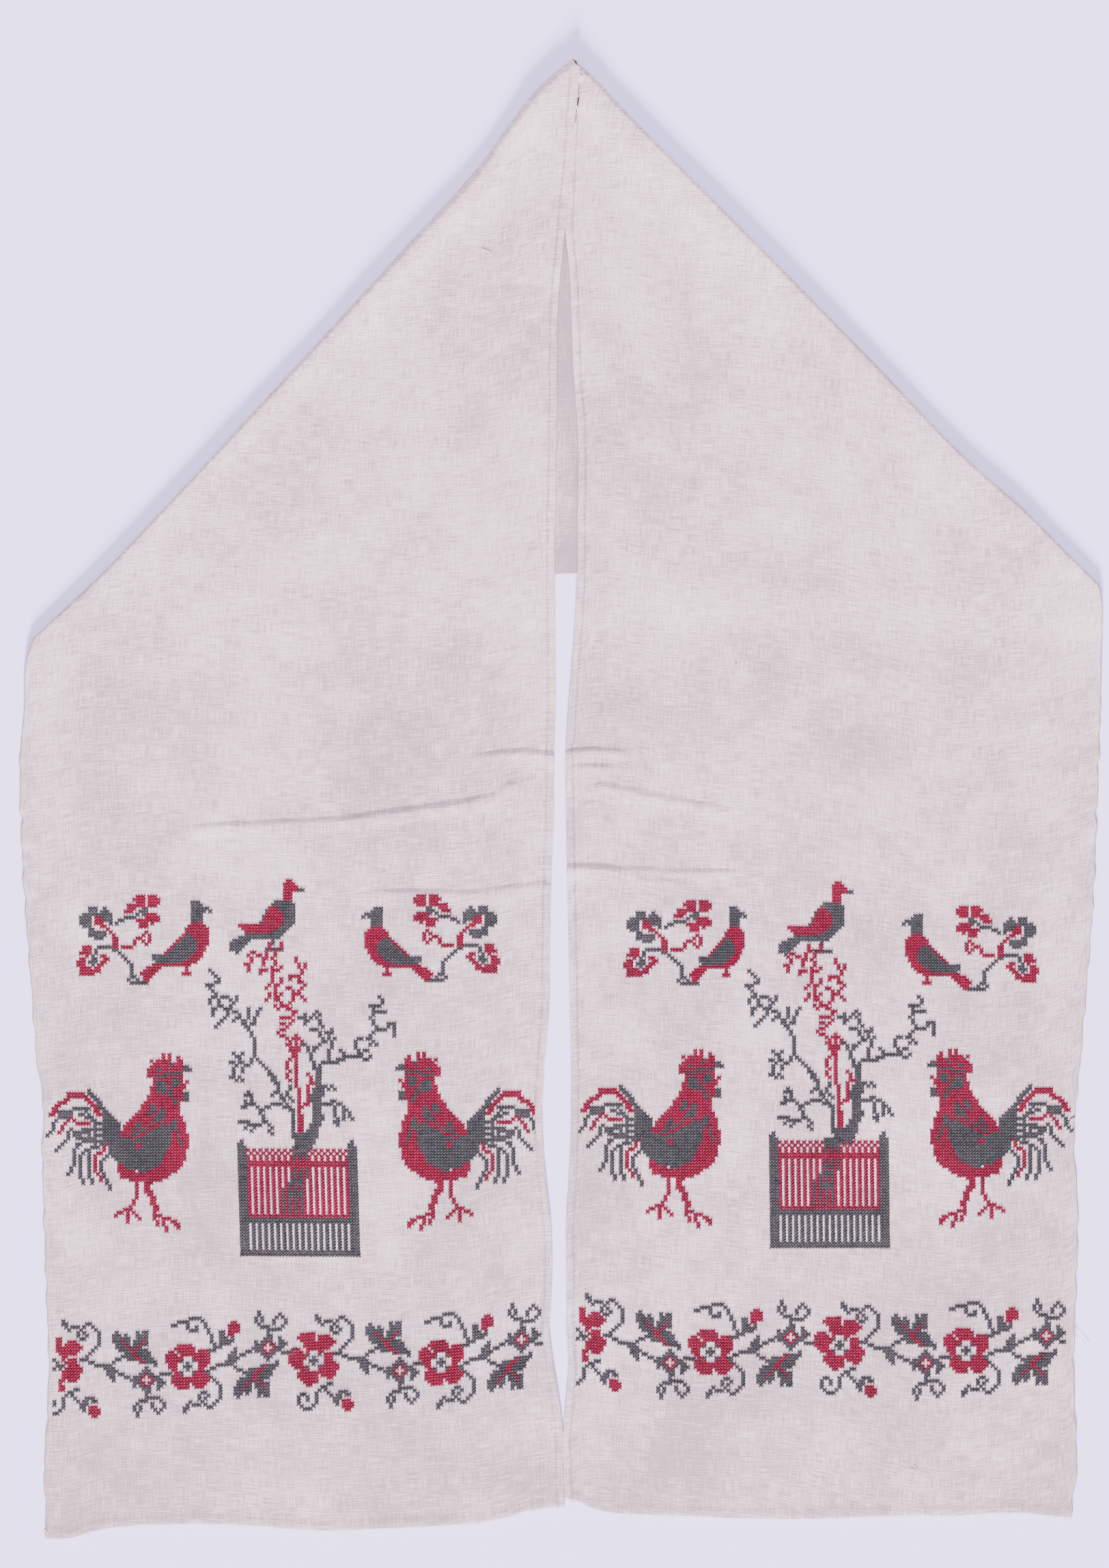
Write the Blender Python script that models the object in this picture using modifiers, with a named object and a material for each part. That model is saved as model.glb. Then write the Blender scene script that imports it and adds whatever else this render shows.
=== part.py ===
"""A linen ritual towel laid flat in two diagonal folds, as one folded sheet.

Metres, +Z up. The long strip starts at the hem of the left end, runs up (+Y), folds under on a diagonal, crosses
behind to the right, folds again and comes down as the right end. Sizes in the tables are millimetres, X to the
right and Y up from the middle of the laid towel. The sheet drawn here is the face that the folds hide: the
underside of both ends and the upper side of the crossing layer. Solidify thickens it away from the folds' insides.
"""

import bmesh
import bpy
import numpy as np

MM = 0.001
CLOTH_WIDTH = 385.0
CLOTH_THICKNESS = 1.0
HEM_THICKNESS = 1.5
HEM_WIDTH = 5.5
HEM_STEP = 1.5

# Heights of the drawn face above the surface: the crossing layer's top, and the ends where they lie on it.
CROSSING_LEVEL = CLOTH_THICKNESS
STACKED_LEVEL = 2.0
DROP_START = 8.0
DROP_LENGTH = 40.0

# The left end's hem rides over the right one's near the point.
OVERLAP_RISE = 2.4
OVERLAP_REACH = 60.0
OVERLAP_HEIGHTS = (370.0, 400.0, 527.0, 540.0)

HEM_LINE = -530.0
LEVEL_LINE = -290.0
CREASED_LINE = -80.0
FAN_LINE = 20.0
PLAIN_ROW = 30.0
CREASED_ROW = 10.0
FAN_ROWS = 16
FAN_CROWDING = 1.4
CROSSING_ROWS = 12
TOP_EDGE_FOR_ROLL = 0.2

LINEN_COLOUR = (0.70, 0.64, 0.66, 1.0)
LINEN_ROUGHNESS = 0.9


class Table:
    """Rows of numbers under named columns, read by the first column along a smooth curve."""

    def __init__(self, columns, *rows):
        self.names = columns.split()
        self.values = dict(zip(self.names, np.array(rows, float).T))

    def read(self, column, at):
        keys = self.values[self.names[0]]
        values = self.values[column]
        at = np.clip(at, keys[0], keys[-1])
        step = np.clip(np.searchsorted(keys, at, side="right") - 1, 0, len(keys) - 2)
        span = keys[step + 1] - keys[step]
        part = (at - keys[step]) / span
        slopes = np.gradient(values, keys)
        rise = part * part * (3 - 2 * part)
        lead = part * (1 - part) ** 2
        trail = part * part * (part - 1)
        straight = values[step] * (1 - rise) + values[step + 1] * rise
        return straight + span * (slopes[step] * lead + slopes[step + 1] * trail)

    def rows(self):
        return zip(*self.values.values())


# The outer edge of each end, from the lower hem up to the folds' outer corners.
SELVEDGES = Table(
    "height left right",
    (-542, -377.2, 373.2),
    (-517, -377.5, 373.8),
    (-490, -378.4, 377.4),
    (-461, -376.6, 376.6),
    (-440, -375.8, 376.0),
    (-415, -374.9, 375.1),
    (-387, -375.9, 375.9),
    (-360, -376.8, 376.8),
    (-310, -378.4, 378.1),
    (-285, -379.1, 377.7),
    (-260, -379.9, 375.5),
    (-227, -378.8, 376.4),
    (-190, -383.8, 380.1),
    (-160, -386.1, 382.6),
    (-115, -389.5, 386.4),
    (-65, -393.2, 389.9),
    (-15, -395.5, 391.8),
    (35, -395.9, 393.6),
    (60, -393.4, 394.5),
    (104, -390.5, 395.6),
    (119, -385.4, 395.8),
    (146, -385.4, 395.1),
    (158, -385.4, 392.6),
)

# The inner, hemmed edge of each end, from the lower hem up to the point.
INNER_EDGES = Table(
    "height left right",
    (-542, 2.8, 3.6),
    (-517, 2.6, 3.5),
    (-490, 1.6, 2.6),
    (-461, 1.2, 2.3),
    (-440, -1.4, 3.3),
    (-415, -5.4, 5.1),
    (-387, -8.5, 3.7),
    (-360, -6.9, 4.1),
    (-310, -7.6, 3.6),
    (-285, -10.4, 5.1),
    (-260, -12.8, 6.4),
    (-227, -13.8, 7.1),
    (-190, -11.9, 7.1),
    (-160, -9.1, 6.4),
    (-115, -8.4, 5.6),
    (-65, -7.5, 4.6),
    (-15, -5.6, 3.6),
    (35, -5.2, 3.2),
    (60, -4.4, 4.6),
    (104, -4.3, 7.9),
    (119, -4.5, 9.1),
    (146, -4.8, 10.8),
    (158, -4.9, 11.5),
    (205, -4.4, 12.0),
    (271, -3.2, 12.1),
    (319, -3.0, 8.6),
    (355, -2.6, 7.4),
    (397, 0.6, 5.1),
    (416, 2.6, 0.6),
    (480, 8.6, 5.4),
    (503, 10.4, 7.1),
    (519, 11.9, 8.3),
    (526, 11.1, 11.3),
    (532, 11.0, 17.0),
    (541, 8.1, 17.0),
)

# How far each end's lower edge lies from the hem line, from the selvedge (0) to the inner edge (1).
HEM_WAVE = Table(
    "across left right",
    (0.00, -10.8, 4.2),
    (0.04, -11.0, 5.6),
    (0.10, -5.0, 7.8),
    (0.20, -1.2, 6.0),
    (0.36, -1.0, 5.6),
    (0.46, -3.8, 4.2),
    (0.56, -5.3, 3.2),
    (0.64, -3.8, 3.6),
    (0.74, -1.8, 5.2),
    (0.86, 1.8, 7.0),
    (0.93, 9.2, 9.4),
    (0.98, 12.2, 17.0),
    (1.00, 12.4, 19.4),
)

# The selvedge of the crossing layer, from the left corner to the right one.
BACK_EDGE = Table(
    "across height",
    (-385.4, 118.8),
    (-290.0, 135.0),
    (-190.0, 149.0),
    (-90.0, 160.0),
    (3.0, 164.8),
    (150.0, 165.5),
    (290.0, 163.0),
    (392.6, 158.2),
)

# The crossing layer's other edge, at the point: short and a little turned up.
TOP_EDGE = Table(
    "part across height rise",
    (0.0, 8.1, 540.8, 0.0),
    (0.2, 9.2, 538.0, 0.3),
    (0.5, 11.0, 535.0, 0.6),
    (0.8, 13.8, 532.8, 0.3),
    (1.0, 17.0, 532.0, 0.0),
)

# Each fold from its outer corner (0) to the point (1): how far it bows out, and how puffed its roll is.
FOLDS = Table(
    "along left_bow right_bow left_puff right_puff",
    (0.00, 0.0, 0.0, 0.50, 0.55),
    (0.03, -1.0, 0.0, 0.70, 0.75),
    (0.07, -3.0, -0.2, 0.85, 0.85),
    (0.15, -5.0, 0.0, 1.00, 0.95),
    (0.22, -5.2, -2.8, 1.05, 1.00),
    (0.45, -4.8, -1.4, 0.95, 1.05),
    (0.70, -4.2, -0.1, 1.00, 0.95),
    (0.82, -3.9, 0.0, 0.90, 0.95),
    (0.88, 1.4, 0.1, 0.85, 0.85),
    (0.94, 4.7, 0.5, 0.70, 0.70),
    (0.97, 3.4, 1.2, 0.60, 0.55),
    (1.00, 0.0, 0.0, 0.45, 0.45),
)

# A fold's cross-section, from the flat of an end, round the roll, to the flat of the crossing layer.
ROLL = Table(
    "row inset over bulge",
    (0, 50.0, 1.00, 0.0),
    (1, 39.0, 1.00, 0.3),
    (2, 29.0, 1.00, 1.0),
    (3, 20.0, 1.00, 2.3),
    (4, 12.0, 1.00, 3.9),
    (5, 6.6, 1.00, 4.8),
    (6, 3.8, 1.00, 4.8),
    (7, 2.2, 0.90, 4.4),
    (8, 1.3, 0.72, 3.6),
    (9, 1.0, 0.50, 2.6),
    (10, 1.3, 0.28, 1.6),
    (11, 2.2, 0.10, 0.8),
    (12, 3.8, 0.00, 0.45),
    (13, 8.0, 0.00, 0.25),
    (14, 13.0, 0.00, 0.1),
    (15, 20.0, 0.00, 0.0),
)
ROLL_REACH_UNDER = 20.0
ROLL_REACH_OVER = 50.0

# Creases and low swells of the two ends: a ridge from one place to another, its height and half its width.
CREASES = Table(
    "from_x from_y to_x to_y height half_width",
    (-262, -20, -158, -15, 0.7, 14),
    (-158, -15, -66, 3, 1.1, 15),
    (-66, 3, -9, 17, 1.2, 15),
    (-55, 35, -6, 32, 0.8, 13),
    (-130, -68, -15, -62, 0.8, 16),
    (6, -51, 60, -52, 1.0, 15),
    (60, -52, 124, -53, 0.6, 14),
    (31, 11, 118, -9, 1.0, 15),
    (6, 35, 42, 35, 0.7, 13),
    (-330, -215, -90, -205, 0.6, 70),
    (70, -220, 320, -212, 0.6, 70),
    (-300, -445, -120, -450, 0.5, 60),
    (90, -455, 300, -447, 0.5, 60),
)

SIDES = {
    "left": {"corner": (-385.4, 118.8), "point": (8.1, 540.8), "inward": 1.0, "top_part": 0.0},
    "right": {"corner": (392.6, 158.2), "point": (17.0, 532.0), "inward": -1.0, "top_part": 1.0},
}

# Columns of the sheet, as distances across the cloth from its selvedge.
COLUMNS = (0, 12, 35, 65, 95, 125, 155, 185, 215, 245, 275, 305, 335, 360)
HEM_COLUMNS = (CLOTH_WIDTH - HEM_WIDTH - HEM_STEP, CLOTH_WIDTH - HEM_WIDTH, CLOTH_WIDTH)


def smooth_step(value):
    value = np.clip(value, 0.0, 1.0)
    return value * value * (3 - 2 * value)


def stacked_height(x, y):
    """Height of an end's underside: on the crossing layer, then down to the surface below its selvedge."""
    below = BACK_EDGE.read("height", x) - y - DROP_START
    return STACKED_LEVEL * (1 - smooth_step(below / DROP_LENGTH))


def overlap_height(side, x, y):
    """How far the left end's inner edge is lifted over the right one's."""
    if side != "left":
        return np.zeros_like(x)
    start, full, last, end = OVERLAP_HEIGHTS
    along = smooth_step((y - start) / (full - start)) * smooth_step((end - y) / (end - last))
    near = smooth_step(1 - (INNER_EDGES.read("left", y) - x) / OVERLAP_REACH)
    return OVERLAP_RISE * along * near


def crease_height(x, y):
    """Height of the creases and swells at a place on the ends."""
    total = np.zeros_like(x)
    for from_x, from_y, to_x, to_y, height, half_width in CREASES.rows():
        run = np.array((to_x - from_x, to_y - from_y))
        part = ((x - from_x) * run[0] + (y - from_y) * run[1]) / (run @ run)
        nearest = np.clip(part, 0.0, 1.0)
        away = np.hypot(x - from_x - nearest * run[0], y - from_y - nearest * run[1])
        total = np.maximum(total, height * smooth_step(1 - away / half_width))
    return total


def end_row(side, selvedge_height, inner_height):
    """One row of points across an end, from its selvedge to its inner edge."""
    y = selvedge_height + (inner_height - selvedge_height) * ACROSS
    share = np.clip((LEVEL_LINE - y) / (LEVEL_LINE - HEM_LINE), 0.0, 1.0)
    y = y + HEM_WAVE.read(side, ACROSS) * share
    selvedge = SELVEDGES.read(side, y[0])
    inner = INNER_EDGES.read(side, y[-1])
    x = selvedge + (inner - selvedge) * ACROSS
    z = stacked_height(x, y) + overlap_height(side, x, y) + crease_height(x, y)
    return np.column_stack((x, y, z))


def fold_row(side, inset, over, bulge):
    """One row of points along a fold, part way round its roll."""
    fold = SIDES[side]
    corner = np.array(fold["corner"])
    point = np.array(fold["point"])
    run = (point - corner) / np.linalg.norm(point - corner)
    inward = fold["inward"] * np.array((run[1], -run[0]))
    down = inset / abs(inward[1])
    heights = np.array((corner[1] - down, point[1] - down))
    over_outer = np.array((SELVEDGES.read(side, heights[0]), heights[0]))
    over_inner = np.array((INNER_EDGES.read(side, heights[1]), heights[1]))
    back = corner[0] + fold["inward"] * inset / abs(inward[0])
    under_outer = np.array((back, BACK_EDGE.read("height", back)))
    top_part = fold["top_part"] + fold["inward"] * TOP_EDGE_FOR_ROLL * inset / ROLL_REACH_UNDER
    under_inner = np.array((TOP_EDGE.read("across", top_part), TOP_EDGE.read("height", top_part)))
    outer = over * over_outer + (1 - over) * under_outer
    inner = over * over_inner + (1 - over) * under_inner
    reach = ROLL_REACH_UNDER + (ROLL_REACH_OVER - ROLL_REACH_UNDER) * over
    bow = FOLDS.read(f"{side}_bow", ACROSS) * (1 - inset / reach)
    places = outer + (inner - outer) * ACROSS[:, None] - inward * bow[:, None]
    x, y = places.T
    laid = stacked_height(x, y) + overlap_height(side, x, y) + crease_height(x, y)
    turned_up = TOP_EDGE.read("rise", top_part) * smooth_step((ACROSS - HEM_START) / (1 - HEM_START))
    puff = bulge * FOLDS.read(f"{side}_puff", ACROSS)
    z = over * laid + (1 - over) * (CROSSING_LEVEL + turned_up) + puff
    return np.column_stack((places, z))


def crossing_row(part):
    """One row of points across the crossing layer, from its selvedge to its short top edge."""
    starts = []
    for fold in SIDES.values():
        run = np.subtract(fold["point"], fold["corner"])
        step = ROLL_REACH_UNDER * np.linalg.norm(run) / abs(run[1])
        starts.append(fold["corner"][0] + fold["inward"] * step)
    back = starts[0] + (starts[1] - starts[0]) * part
    top_part = TOP_EDGE_FOR_ROLL + (1 - 2 * TOP_EDGE_FOR_ROLL) * part
    outer = np.array((back, BACK_EDGE.read("height", back)))
    inner = np.array((TOP_EDGE.read("across", top_part), TOP_EDGE.read("height", top_part)))
    places = outer + (inner - outer) * ACROSS[:, None]
    turned_up = TOP_EDGE.read("rise", top_part) * smooth_step((ACROSS - HEM_START) / (1 - HEM_START))
    return np.column_stack((places, CROSSING_LEVEL + turned_up))


def end_rows(side):
    """All rows of one end from its hem to its fold's roll, each with whether it is hem all across."""
    hem_top = HEM_LINE + HEM_WIDTH
    plain = np.arange(hem_top + PLAIN_ROW, CREASED_LINE, PLAIN_ROW)
    creased = np.arange(CREASED_LINE, FAN_LINE, CREASED_ROW)
    rows = [(end_row(side, height, height), True) for height in (HEM_LINE, hem_top)]
    rows += [(end_row(side, height, height), False) for height in (hem_top + HEM_STEP, *plain, *creased)]
    fold = SIDES[side]
    run = np.subtract(fold["point"], fold["corner"])
    down = ROLL_REACH_OVER * np.linalg.norm(run) / abs(run[0])
    for count in range(FAN_ROWS):
        part = (count / FAN_ROWS) ** FAN_CROWDING
        selvedge = FAN_LINE + (fold["corner"][1] - down - FAN_LINE) * part
        inner = FAN_LINE + (fold["point"][1] - down - FAN_LINE) * part
        rows.append((end_row(side, selvedge, inner), False))
    return rows


def sheet_rows():
    """Every row along the strip: points, and how much of a hem's thickness each has."""
    halves = []
    for side in SIDES:
        half = []
        for points, all_hem in end_rows(side):
            half.append((points, np.where(all_hem | IN_SIDE_HEM, 1.0, 0.0)))
        for _, inset, over, bulge in ROLL.rows():
            on_top = over == 1
            half.append((fold_row(side, inset, over, bulge), np.where(IN_SIDE_HEM & on_top, 1.0, 0.0)))
        halves.append(half)
    crossing = []
    for count in range(1, CROSSING_ROWS):
        crossing.append((crossing_row(count / CROSSING_ROWS), np.zeros(len(ACROSS))))
    return halves[0] + crossing + halves[1][::-1]


def linen_material():
    material = bpy.data.materials.new("linen")
    material.use_nodes = True
    shader = material.node_tree.nodes["Principled BSDF"]
    shader.inputs["Base Color"].default_value = LINEN_COLOUR
    shader.inputs["Roughness"].default_value = LINEN_ROUGHNESS
    shader.inputs["Metallic"].default_value = 0.0
    return material


def folded_cloth(collection):
    """The towel's cloth: a loft through its rows, thickened by Solidify, thicker along its hems."""
    rows = sheet_rows()
    mesh = bpy.data.meshes.new("towel_cloth")
    loft = bmesh.new()
    verts = [[loft.verts.new(point * MM) for point in points] for points, _ in rows]
    for row, after in zip(verts, verts[1:]):
        for column in range(len(row) - 1):
            loft.faces.new((row[column], row[column + 1], after[column + 1], after[column]))
    loft.verts.index_update()
    loft.to_mesh(mesh)
    loft.free()
    cloth = bpy.data.objects.new("towel_cloth", mesh)
    collection.objects.link(cloth)
    hem = cloth.vertex_groups.new(name="hem")
    shares = np.concatenate([shares for _, shares in rows])
    hem.add(np.flatnonzero(shares > 0).tolist(), 1.0, "REPLACE")
    thicken = cloth.modifiers.new("thickness", "SOLIDIFY")
    thicken.thickness = HEM_THICKNESS * MM
    thicken.vertex_group = "hem"
    thicken.thickness_vertex_group = CLOTH_THICKNESS / HEM_THICKNESS
    thicken.offset = 1.0
    thicken.use_quality_normals = True
    mesh.shade_smooth()
    mesh.materials.append(linen_material())
    return cloth


def main():
    for old in list(bpy.data.objects):
        bpy.data.objects.remove(old, do_unlink=True)
    collection = bpy.data.collections.new("ritual_towel")
    bpy.context.scene.collection.children.link(collection)
    folded_cloth(collection)


ACROSS = np.array(COLUMNS + HEM_COLUMNS) / CLOTH_WIDTH
HEM_START = 1 - HEM_WIDTH / CLOTH_WIDTH
IN_SIDE_HEM = ACROSS > HEM_START - HEM_STEP / CLOTH_WIDTH / 2

main()
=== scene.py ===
"""A linen ritual towel laid flat in two diagonal folds, with its cross-stitch, its hems and a plain stage.

The frame is in metres, +Z up. The tables are in millimetres, X to the right and Y up from the middle
of the laid towel. The charts are in stitches, counted from a motif's own lower left corner or, on the
border, from a rose.
"""

import math

import bmesh
import bpy
import numpy as np
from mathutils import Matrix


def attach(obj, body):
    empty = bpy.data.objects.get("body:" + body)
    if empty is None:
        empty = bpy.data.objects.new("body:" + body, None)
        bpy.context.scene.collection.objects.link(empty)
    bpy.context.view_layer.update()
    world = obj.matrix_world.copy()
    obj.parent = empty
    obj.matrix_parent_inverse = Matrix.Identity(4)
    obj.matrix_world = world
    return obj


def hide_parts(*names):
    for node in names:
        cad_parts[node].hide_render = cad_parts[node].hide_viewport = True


bl_info = {
    "name": "Ritual towel",
    "version": (1, 0),
    "blender": (4, 5, 0),
    "location": "View3D > Sidebar > Towel",
    "description": "Lays out a folded linen towel with cross-stitched ends",
    "category": "Object",
}

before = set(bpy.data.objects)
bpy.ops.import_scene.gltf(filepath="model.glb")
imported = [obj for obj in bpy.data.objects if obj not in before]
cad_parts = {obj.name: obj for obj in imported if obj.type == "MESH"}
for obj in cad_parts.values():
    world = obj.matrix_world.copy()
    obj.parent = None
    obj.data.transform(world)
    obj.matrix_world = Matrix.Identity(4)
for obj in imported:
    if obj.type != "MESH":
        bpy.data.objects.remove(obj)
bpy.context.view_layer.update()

MM = 0.001

# Heights of the drawn face, as in the part, for this thinner cloth.
DROP_START = 8.0
DROP_LENGTH = 40.0
STACK_GAP = 0.4
OVERLAP_RISE = 2.0
OVERLAP_REACH = 60.0
OVERLAP_HEIGHTS = (370.0, 400.0, 500.0, 560.0)

HEM_LINE = -530.0
LEVEL_LINE = -290.0
CREASED_LINE = -80.0
FAN_LINE = 36.0
FAN_ROWS = 104
FAN_CROWDING = 1.5
PLAIN_ROW = 7.0
CREASED_ROW = 1.5
ROLL_STEP = 0.5
CROSSING_ROWS = 40
TOP_EDGE_FOR_ROLL = 0.2
ROLL_REACH_UNDER = 20.0
ROLL_REACH_OVER = 50.0
COLUMN_STEP = 6.0
EDGE_COLUMNS = (0.0, 0.8, 2.0, 3.6, 5.6, 8.2, 11.5)
HEM_COLUMNS_BEFORE = (3.5, 1.2, 0.5, 0.0)

# The hems: how their edges round off and step down, and their share of the hem's thickness row by row.
HEM_ROUNDING = 0.6
HEM_STEP = 1.6
HEM_MARGIN = 3.4
HEM_SHARES = (0.35, 0.5, 0.5, 0.4, 0.12)
SIDE_HEM_EDGE_SHARE = 0.8


class Table:
    """Rows of numbers under named columns, read by the first column along a smooth curve."""

    def __init__(self, columns, *rows):
        self.names = columns.split()
        self.values = dict(zip(self.names, np.array(rows, float).T))

    def read(self, column, at):
        keys = self.values[self.names[0]]
        values = self.values[column]
        at = np.clip(at, keys[0], keys[-1])
        step = np.clip(np.searchsorted(keys, at, side="right") - 1, 0, len(keys) - 2)
        span = keys[step + 1] - keys[step]
        part = (at - keys[step]) / span
        slopes = np.gradient(values, keys)
        rise = part * part * (3 - 2 * part)
        lead = part * (1 - part) ** 2
        trail = part * part * (part - 1)
        straight = values[step] * (1 - rise) + values[step + 1] * rise
        return straight + span * (slopes[step] * lead + slopes[step + 1] * trail)

    def rows(self):
        return zip(*self.values.values())


# The outer edge of each end, from the lower hem up to the folds' outer corners.
SELVEDGES = Table(
    "height left right",
    (-542, -377.2, 373.2),
    (-517, -377.5, 373.8),
    (-490, -378.4, 377.4),
    (-461, -376.6, 376.6),
    (-440, -375.8, 376.0),
    (-415, -374.9, 375.1),
    (-387, -375.9, 375.9),
    (-360, -376.8, 376.8),
    (-310, -378.4, 378.1),
    (-285, -379.1, 377.7),
    (-260, -379.9, 375.5),
    (-227, -378.8, 376.4),
    (-190, -383.8, 380.1),
    (-160, -386.1, 382.6),
    (-115, -389.5, 386.4),
    (-65, -393.2, 389.9),
    (-15, -395.5, 391.8),
    (35, -395.9, 393.6),
    (60, -393.4, 394.5),
    (104, -390.5, 395.6),
    (119, -385.4, 395.8),
    (146, -385.4, 395.1),
    (158, -385.4, 392.6),
)

# The inner, hemmed edge of each end, from the lower hem up to the point.
INNER_EDGES = Table(
    "height left right",
    (-542, 2.8, 3.0),
    (-517, 2.6, 2.8),
    (-490, 1.6, 1.8),
    (-461, 1.2, 1.5),
    (-440, -1.4, 3.3),
    (-415, -5.4, 5.1),
    (-387, -8.5, 3.7),
    (-360, -6.9, 4.1),
    (-310, -7.6, 3.6),
    (-285, -10.4, 5.1),
    (-260, -12.8, 6.4),
    (-227, -13.8, 7.1),
    (-190, -11.9, 7.1),
    (-160, -9.1, 6.4),
    (-115, -8.4, 5.6),
    (-65, -7.5, 4.6),
    (-15, -5.6, 3.6),
    (35, -5.2, 3.2),
    (60, -4.4, 4.6),
    (104, -4.3, 7.9),
    (119, -4.5, 9.1),
    (146, -4.8, 10.8),
    (158, -4.9, 11.5),
    (205, -4.4, 12.0),
    (271, -3.2, 12.1),
    (319, -3.0, 8.6),
    (355, -2.6, 7.4),
    (397, 0.6, 5.1),
    (416, 2.6, 2.9),
    (440, 4.8, 3.4),
    (480, 8.6, 5.0),
    (503, 10.4, 6.6),
    (519, 12.0, 8.0),
    (528, 12.6, 10.6),
    (536, 13.2, 13.5),
    (541, 10.0, 13.5),
)

# How far each end's lower edge lies from the hem line, from the selvedge (0) to the inner edge (1).
HEM_WAVE = Table(
    "across left right",
    (0.00, -10.8, 4.2),
    (0.04, -11.0, 5.6),
    (0.10, -5.0, 7.8),
    (0.20, -1.2, 6.0),
    (0.36, -1.0, 5.6),
    (0.46, -3.8, 4.2),
    (0.56, -5.3, 3.2),
    (0.64, -3.8, 3.6),
    (0.74, -1.8, 5.2),
    (0.86, 1.8, 7.0),
    (0.93, 9.2, 9.4),
    (0.98, 12.2, 17.0),
    (1.00, 12.4, 19.4),
)

# The selvedge of the crossing layer, from the left corner to the right one.
BACK_EDGE = Table(
    "across height",
    (-385.4, 118.8),
    (-290.0, 135.0),
    (-190.0, 149.0),
    (-90.0, 160.0),
    (3.0, 164.8),
    (150.0, 165.5),
    (290.0, 163.0),
    (392.6, 158.2),
)

# The crossing layer's other edge, at the point: short and a little turned up.
TOP_EDGE = Table(
    "part across height rise",
    (0.0, 8.1, 540.8, 0.0),
    (0.2, 9.4, 541.1, 0.3),
    (0.5, 11.4, 540.2, 0.7),
    (0.8, 13.0, 538.3, 0.3),
    (1.0, 13.5, 536.0, 0.0),
)

# Each fold from its outer corner (0) to the point (1): how far it bows out, and how puffed its roll is.
FOLDS = Table(
    "along left_bow right_bow left_puff right_puff",
    (0.00, 0.0, 0.0, 0.35, 0.35),
    (0.03, -1.0, 0.0, 0.42, 0.40),
    (0.07, -3.0, -0.2, 0.50, 0.42),
    (0.15, -5.0, 0.0, 0.58, 0.48),
    (0.22, -5.2, -2.8, 0.62, 0.52),
    (0.45, -4.8, -1.4, 0.70, 0.60),
    (0.70, -4.2, -0.1, 0.80, 0.70),
    (0.82, -3.9, 0.0, 0.85, 0.75),
    (0.88, 1.4, 0.1, 0.88, 0.80),
    (0.94, 4.7, 0.5, 0.90, 0.85),
    (0.97, 3.4, 1.2, 0.90, 0.88),
    (1.00, 0.0, 0.0, 0.85, 0.85),
)

# A fold's cross-section, from the flat of an end, round the roll, to the flat of the crossing layer.
ROLL = Table(
    "row inset over bulge",
    (0, 50.0, 1.00, 0.0),
    (1, 39.0, 1.00, 0.3),
    (2, 29.0, 1.00, 1.0),
    (3, 20.0, 1.00, 2.3),
    (4, 12.0, 1.00, 4.2),
    (5, 6.6, 1.00, 5.0),
    (6, 3.8, 1.00, 5.2),
    (7, 2.2, 0.97, 5.2),
    (8, 1.2, 0.76, 4.3),
    (9, 0.9, 0.50, 2.9),
    (10, 1.3, 0.28, 1.6),
    (11, 2.2, 0.10, 0.8),
    (12, 3.8, 0.00, 0.45),
    (13, 8.0, 0.00, 0.25),
    (14, 13.0, 0.00, 0.1),
    (15, 20.0, 0.00, 0.0),
)

# Creases of the two ends, sharp ones and wide soft ones: a ridge from one place to another, its height and
# half its width.
CREASES = Table(
    "from_x from_y to_x to_y height half_width",
    (-262, -20, -158, -15, 0.7, 12),
    (-158, -15, -66, -2, 1.0, 12),
    (-66, -2, -50, 2, 0.8, 12),
    (-50, 2, -39, 9, 0.8, 11),
    (-39, 9, -29, 13, 0.6, 9),
    (-57, 32, -43, 34, 0.7, 10),
    (-43, 34, -27, 35, 0.9, 11),
    (-27, 35, -6, 32, 0.9, 11),
    (-61, 110, -25, 109, 0.5, 8),
    (-130, -68, -66, -69, 0.7, 14),
    (-66, -69, -15, -62, 0.6, 14),
    (6, -50, 28, -50, 1.0, 12),
    (28, -50, 46, -53, 1.0, 13),
    (46, -53, 64, -58, 0.8, 10),
    (64, -58, 89, -61, 0.6, 10),
    (46, -51, 89, -53, 0.6, 8),
    (89, -53, 124, -53, 0.6, 10),
    (31, 10, 55, 5, 0.8, 12),
    (55, 5, 75, 1, 0.8, 12),
    (75, 1, 118, -7, 0.7, 12),
    (6, 35, 23, 36, 0.7, 9),
    (23, 36, 41, 35, 0.8, 9),
    (16, 24, 35, 24, 0.7, 8),
    (-29, 498, 7, 492, 0.8, 9),
    (-330, -215, -90, -205, 0.6, 70),
    (70, -220, 320, -212, 0.6, 70),
    (-300, -445, -120, -450, 0.5, 60),
    (90, -455, 300, -447, 0.5, 60),
)
CREASE_STEEPNESS = 5.6
WIDEST_SHARP_CREASE = 20.0

# Low waves of the cloth: the length and direction of each, its height and where it starts.
SWELLS = Table(
    "length direction height start",
    (176, 83, 0.22, 0.4),
    (231, 97, 0.20, 2.1),
    (118, 71, 0.13, 4.0),
    (143, 22, 0.12, 1.3),
    (67, 88, 0.07, 5.2),
)

# Small scallops of the selvedge: each wave's length along it, how far out it goes and how high it lifts.
SCALLOPS = Table(
    "length out lift start",
    (31.0, 0.45, 0.22, 0.3),
    (19.0, 0.35, 0.18, 2.2),
    (12.5, 0.28, 0.12, 4.1),
)
SCALLOP_FADE = 30.0
SCALLOP_SHIFT = {"left": 1.7, "right": 0.0}
SCALLOP_DRIFT = 0.9
SCALLOP_DRIFT_LENGTH = 47.0

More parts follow.
